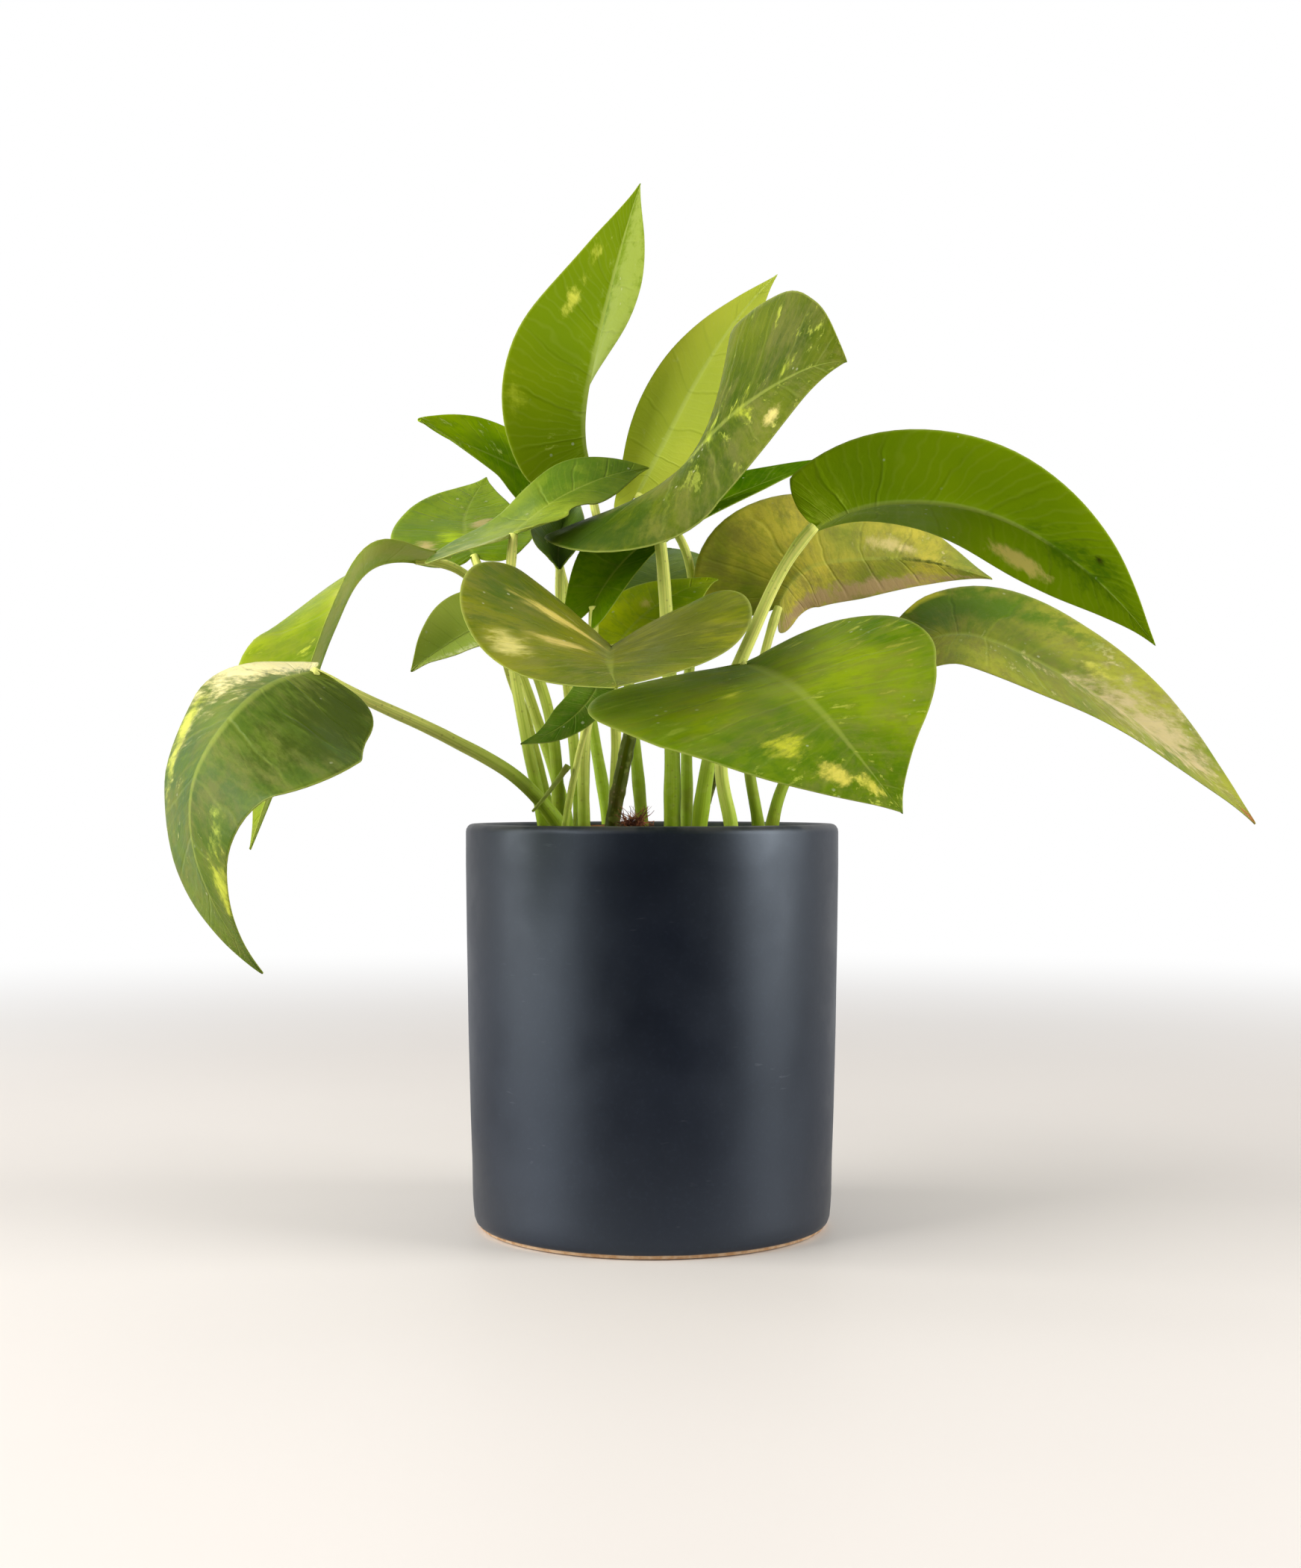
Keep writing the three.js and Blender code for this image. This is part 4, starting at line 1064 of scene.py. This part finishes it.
def floor_material(settings):
    """Pale warm floor that lifts to white far from the pot.

    What only lights the pot or shows in its glaze is dim in front of it and bright behind it.
    """
    material, wire, shader = new_material("pale_floor")
    place = wire.place()
    x, y, _ = wire.split(place)
    reach = wire.maths("SQRT", wire.add(wire.times(x, x), wire.times(y, y)))
    paint = wire.mix(wire.between(wire.grain(place, 6.0, 4.0), 0.3, 0.7),
                     tuple(settings.floor), tuple(c * 0.985 for c in settings.floor))
    fade = wire.between(reach, 0.28, 1.1)
    connect(wire, shader, Base_Color=paint, Roughness=0.55,
            Normal=wire.bumped(wire.grain(place, 300.0, 3.0), 0.06, 0.0003))
    seen = wire.node("ShaderNodeLightPath").outputs["Is Camera Ray"]
    unseen_fade = wire.between(reach, 0.06, 0.26)
    fade = wire.add(wire.times(seen, fade),
                    wire.times(wire.maths("SUBTRACT", 1.0, seen), unseen_fade))
    far = wire.node("ShaderNodeEmission", {
        "Color": (1, 1, 1, 1),
        "Strength": wire.maths("MAXIMUM", seen, wire.between(y, -0.2, 0.4, 0.06, 0.75)),
    }).outputs[0]
    both = wire.node("ShaderNodeMixShader", {0: fade, 1: shader.outputs[0], 2: far}).outputs[0]
    end = wire.tree.nodes["Material Output"]
    wire.tree.links.new(both, end.inputs["Surface"])
    return material


# ---------------------------------------------------------------- settings

class PothosLeafSettings(bpy.types.PropertyGroup):
    thickness: bpy.props.FloatProperty(
        name="Blade thickness", description="Thickness of a blade at its midrib, in millimetres",
        default=0.55, min=0.2, max=1.2)
    relief: bpy.props.FloatProperty(
        name="Vein relief", description="How far the blade swells between side veins, in mm",
        default=0.22, min=0.0, max=0.6)
    glow: bpy.props.FloatProperty(
        name="Glow", description="How much light goes through a blade",
        default=0.18, min=0.0, max=1.0, subtype="FACTOR")


class PothosStemSettings(bpy.types.PropertyGroup):
    # partly painted light: the stalk top colour is lightened well past the stalks' own green to
    # make up for the shade they sit in under the leaves
    top: bpy.props.FloatVectorProperty(
        name="Stalk top", description="Colour of a stalk near its leaf", size=4,
        subtype="COLOR", default=colour("fffc8c"), min=0.0, max=1.0)
    foot: bpy.props.FloatVectorProperty(
        name="Stalk foot", description="Colour of a stalk near the soil", size=4,
        subtype="COLOR", default=colour("a4be30"), min=0.0, max=1.0)
    old: bpy.props.FloatVectorProperty(
        name="Old stem", description="Colour of the old bare stems", size=4,
        subtype="COLOR", default=colour("505a0a"), min=0.0, max=1.0)


class PothosPotSettings(bpy.types.PropertyGroup):
    glaze: bpy.props.FloatVectorProperty(
        name="Glaze", description="Main colour of the glaze", size=4, subtype="COLOR",
        default=colour("090d19"), min=0.0, max=1.0)
    glaze_light: bpy.props.FloatVectorProperty(
        name="Thin glaze", description="Colour where the glaze is thinner", size=4,
        subtype="COLOR", default=colour("0c111f"), min=0.0, max=1.0)
    clay: bpy.props.FloatVectorProperty(
        name="Clay", description="Colour of the bare clay at the foot", size=4,
        subtype="COLOR", default=colour("b98f62"), min=0.0, max=1.0)
    speckle: bpy.props.FloatProperty(
        name="Speckle", description="Strength of the fine speckle", default=0.35,
        min=0.0, max=1.0, subtype="FACTOR")
    gloss: bpy.props.FloatProperty(
        name="Roughness", description="Roughness of the matte glaze", default=0.42,
        min=0.1, max=1.0, subtype="FACTOR")
    sides: bpy.props.IntProperty(
        name="Sides", description="Steps round the pot", default=160, min=32, max=400)


class PothosSoilSettings(bpy.types.PropertyGroup):
    crumbs: bpy.props.IntProperty(
        name="Crumbs", description="Number of loose crumbs on the soil", default=1500,
        min=0, max=5000)
    largest: bpy.props.FloatProperty(
        name="Largest crumb", description="Half length of the largest crumb, in millimetres",
        default=2.4, min=0.5, max=4.0)
    dark: bpy.props.FloatVectorProperty(
        name="Damp soil", description="Darkest colour of the soil", size=4, subtype="COLOR",
        default=colour("1f140d"), min=0.0, max=1.0)
    light: bpy.props.FloatVectorProperty(
        name="Dry soil", description="Lightest colour of the soil", size=4, subtype="COLOR",
        default=colour("4a3526"), min=0.0, max=1.0)


class PothosStageSettings(bpy.types.PropertyGroup):
    floor: bpy.props.FloatVectorProperty(
        name="Floor", description="Colour of the pale floor", size=4, subtype="COLOR",
        default=(0.75, 0.7, 0.65, 1.0), min=0.0, max=1.0)
    key: bpy.props.FloatProperty(
        name="Key light", description="Power of the large light on the left, in watts",
        default=26.0, min=0.0, max=200.0)
    fill: bpy.props.FloatProperty(
        name="Fill light", description="Power of the light on the right, in watts",
        default=17.0, min=0.0, max=200.0)
    sky: bpy.props.FloatProperty(
        name="Top light", description="Power of the light above and in front, in watts",
        default=5.0, min=0.0, max=200.0)
    room: bpy.props.FloatProperty(
        name="Room light", description="Strength of the bright room behind the plant",
        default=0.75, min=0.0, max=5.0)
    eye_height: bpy.props.FloatProperty(
        name="Eye height", description="Height of the level camera", default=0.129,
        unit="LENGTH", min=0.0, max=2.0)
    distance: bpy.props.FloatProperty(
        name="Camera distance", description="From the camera to the pot's axis",
        default=0.6205, unit="LENGTH", min=0.2, max=5.0)


# ---------------------------------------------------------------- operators

class POTHOS_OT_stage(bpy.types.Operator):
    """Make the camera, the soft lights and the pale floor"""
    bl_idname = "pothos.stage"
    bl_label = "Stage"

    def execute(self, context):
        settings = context.scene.pothos_stage
        self.make_camera(context, settings)
        self.make_lights(context, settings)
        self.make_floor(context, settings)
        return {"FINISHED"}

    def make_camera(self, context, settings):
        data = bpy.data.cameras.new("camera")
        data.sensor_width = CAMERA_SENSOR
        data.lens = CAMERA_LENS
        data.shift_x, data.shift_y = CAMERA_SHIFT
        data.clip_start = 0.01
        camera = bpy.data.objects.new("camera", data)
        camera.location = (0, -settings.distance, settings.eye_height)
        camera.rotation_euler = (math.radians(90), 0, 0)
        context.scene.collection.objects.link(camera)
        context.scene.camera = camera

    def make_lights(self, context, settings):
        for key, (wide, tall, place) in LIGHTS.items():
            data = bpy.data.lights.new(key + "_light", "AREA")
            data.shape = "RECTANGLE"
            data.size, data.size_y, data.energy = wide, tall, getattr(settings, key)
            light = bpy.data.objects.new(key + "_light", data)
            light.location = place
            aim = Vector(LIGHT_AIM) - light.location
            light.rotation_euler = aim.to_track_quat("-Z", "Y").to_euler()
            context.scene.collection.objects.link(light)
        world = bpy.data.worlds.new("room")
        world.use_nodes = True
        wire = Wiring(world.node_tree)
        seen = wire.node("ShaderNodeLightPath").outputs["Is Camera Ray"]
        towards = wire.node("ShaderNodeTexCoord").outputs["Generated"]
        depth = wire.split(towards)[1]
        even = wire.between(depth, -0.4, 0.8, settings.room * 0.12, settings.room)
        strength = wire.maths("MAXIMUM", seen, even)
        connect(wire, world.node_tree.nodes["Background"], Color=(1, 1, 1, 1),
                Strength=strength)
        context.scene.world = world
        context.scene.view_settings.view_transform = "Standard"

    def make_floor(self, context, settings):
        mesh = bpy.data.meshes.new("floor")
        ring = ring_points(FLOOR_RADIUS, 0, FLOOR_SIDES)
        mesh.from_pydata(ring, [], [tuple(range(len(ring)))])
        mesh.materials.append(floor_material(settings))
        floor = bpy.data.objects.new("floor", mesh)
        floor.location.z = -FLOOR_DROP
        context.scene.collection.objects.link(floor)


class POTHOS_OT_pot(bpy.types.Operator):
    """Turn the slate pot with its rolled rim and bare foot line"""
    bl_idname = "pothos.pot"
    bl_label = "Pot"

    def execute(self, context):
        settings = context.scene.pothos_pot
        points, faces = turned_mesh(pot_profile(), settings.sides)
        mesh_piece("glazed_pot", points, faces, glaze_material(settings), "slate_glaze", ["pot"])
        return {"FINISHED"}


class POTHOS_OT_soil(bpy.types.Operator):
    """Fill the pot with soil and scatter crumbs, a bark chip and a tuft of coir"""
    bl_idname = "pothos.soil"
    bl_label = "Soil"

    def execute(self, context):
        settings = context.scene.pothos_soil
        dark, light = tuple(settings.dark), tuple(settings.light)
        earth = earth_material("potting_soil", dark, light, 0.0)
        loose = earth_material("loose_crumbs", dark, light, 0.75)
        mesh_piece("soil_bed", *soil_mesh(), earth, "potting_soil", ["soil"])
        crumbs = crumbs_mesh(settings.crumbs, settings.largest, random.Random(4))
        mesh_piece("soil_crumbs", *crumbs[:2], loose, "potting_soil", ["soil"], crumbs[2])
        mesh_piece("bark_splinter", *chip_mesh(), bark_material(), "bark", ["bark_chip"])
        mesh_piece("coir_fibres", *tuft_mesh(random.Random(7)), fibre_material(), "coir_fibre",
                   ["coir_tuft"])
        return {"FINISHED"}


class POTHOS_OT_stalks(bpy.types.Operator):
    """Grow a stalk for every leaf"""
    bl_idname = "pothos.stalks"
    bl_label = "Stalks"

    def execute(self, context):
        settings = context.scene.pothos_stems
        green = stalk_material("leaf_stalk", tuple(settings.top), tuple(settings.foot),
                               colour("7a6a2c"), 0.3, 2.0)
        for name, leaf in LEAVES.items():
            points, faces, values = stalk_mesh(leaf)
            mesh_piece("grown_stalk_" + name, points, faces, green, "leaf_stalk",
                       ["stalk_" + name], values)
        return {"FINISHED"}


class POTHOS_OT_old_stems(bpy.types.Operator):
    """Add the old bare stems and the dry sheath"""
    bl_idname = "pothos.old_stems"
    bl_label = "Old stems"

    def execute(self, context):
        settings = context.scene.pothos_stems
        old = stalk_material("old_stem", tuple(settings.old), colour("42440c"),
                             colour("5a4228"), 0.9, 5.0)
        dry = stalk_material("dry_sheath", colour("9aa648"), colour("8a9a3e"),
                             colour("6a4c28"), 0.4, 8.0)
        for name, (path, thick) in VINES.items():
            points, faces, values = vine_mesh(path, thick)
            mesh_piece("old_" + name, points, faces, old, "old_stem", [name], values)
        points, faces, values = sheath_mesh()
        mesh_piece("papery_sheath", points, faces, dry, "dry_sheath", ["dry_sheath"], values)
        return {"FINISHED"}


class POTHOS_OT_leaves(bpy.types.Operator):
    """Grow every blade with its veins, colours and cream patches, and one lighter patch of painted
    light
    """
    bl_idname = "pothos.leaves"
    bl_label = "Leaves"

    def execute(self, context):
        settings = context.scene.pothos_leaves
        for i, (name, leaf) in enumerate(LEAVES.items()):
            points, faces, values = blade_mesh(leaf, settings.thickness, settings.relief, i * 3.7)
            material = leaf_material(name, leaf, i * 1.37, settings.glow)
            mesh_piece("blade_" + name, points, faces, material, "leaf_" + name,
                       ["leaf_" + name], values)
        return {"FINISHED"}


class POTHOS_PT_panel(bpy.types.Panel):
    """Lists the pieces of the potted pothos"""
    bl_idname = "POTHOS_PT_panel"
    bl_label = "Potted Pothos"
    bl_space_type = "VIEW_3D"
    bl_region_type = "UI"
    bl_category = "Pothos"

    def draw(self, context):
        for title, key, name in SECTIONS:
            box = self.layout.box()
            box.operator(name, text=title)
            settings = getattr(context.scene, key)
            for field in settings.bl_rna.properties.keys():
                if field not in {"rna_type", "name"}:
                    box.prop(settings, field)


SECTIONS = [
    ("Stage", "pothos_stage", "pothos.stage"),
    ("Pot", "pothos_pot", "pothos.pot"),
    ("Soil", "pothos_soil", "pothos.soil"),
    ("Stalks", "pothos_stems", "pothos.stalks"),
    ("Old stems", "pothos_stems", "pothos.old_stems"),
    ("Leaves", "pothos_leaves", "pothos.leaves"),
]

GROUPS = {
    "pothos_stage": PothosStageSettings, "pothos_pot": PothosPotSettings,
    "pothos_soil": PothosSoilSettings, "pothos_stems": PothosStemSettings,
    "pothos_leaves": PothosLeafSettings,
}
OPERATORS = [POTHOS_OT_stage, POTHOS_OT_pot, POTHOS_OT_soil, POTHOS_OT_stalks,
             POTHOS_OT_old_stems, POTHOS_OT_leaves]


def register():
    for group in GROUPS.values():
        bpy.utils.register_class(group)
    for key, group in GROUPS.items():
        setattr(bpy.types.Scene, key, bpy.props.PointerProperty(type=group))
    for operator in OPERATORS:
        bpy.utils.register_class(operator)
    bpy.utils.register_class(POTHOS_PT_panel)


def unregister():
    bpy.utils.unregister_class(POTHOS_PT_panel)
    for operator in reversed(OPERATORS):
        bpy.utils.unregister_class(operator)
    for key, group in GROUPS.items():
        delattr(bpy.types.Scene, key)
        bpy.utils.unregister_class(group)


def main():
    register()
    bpy.ops.pothos.stage()
    bpy.ops.pothos.pot()
    bpy.ops.pothos.soil()
    bpy.ops.pothos.stalks()
    bpy.ops.pothos.old_stems()
    bpy.ops.pothos.leaves()


if __name__ == "__main__":
    main()
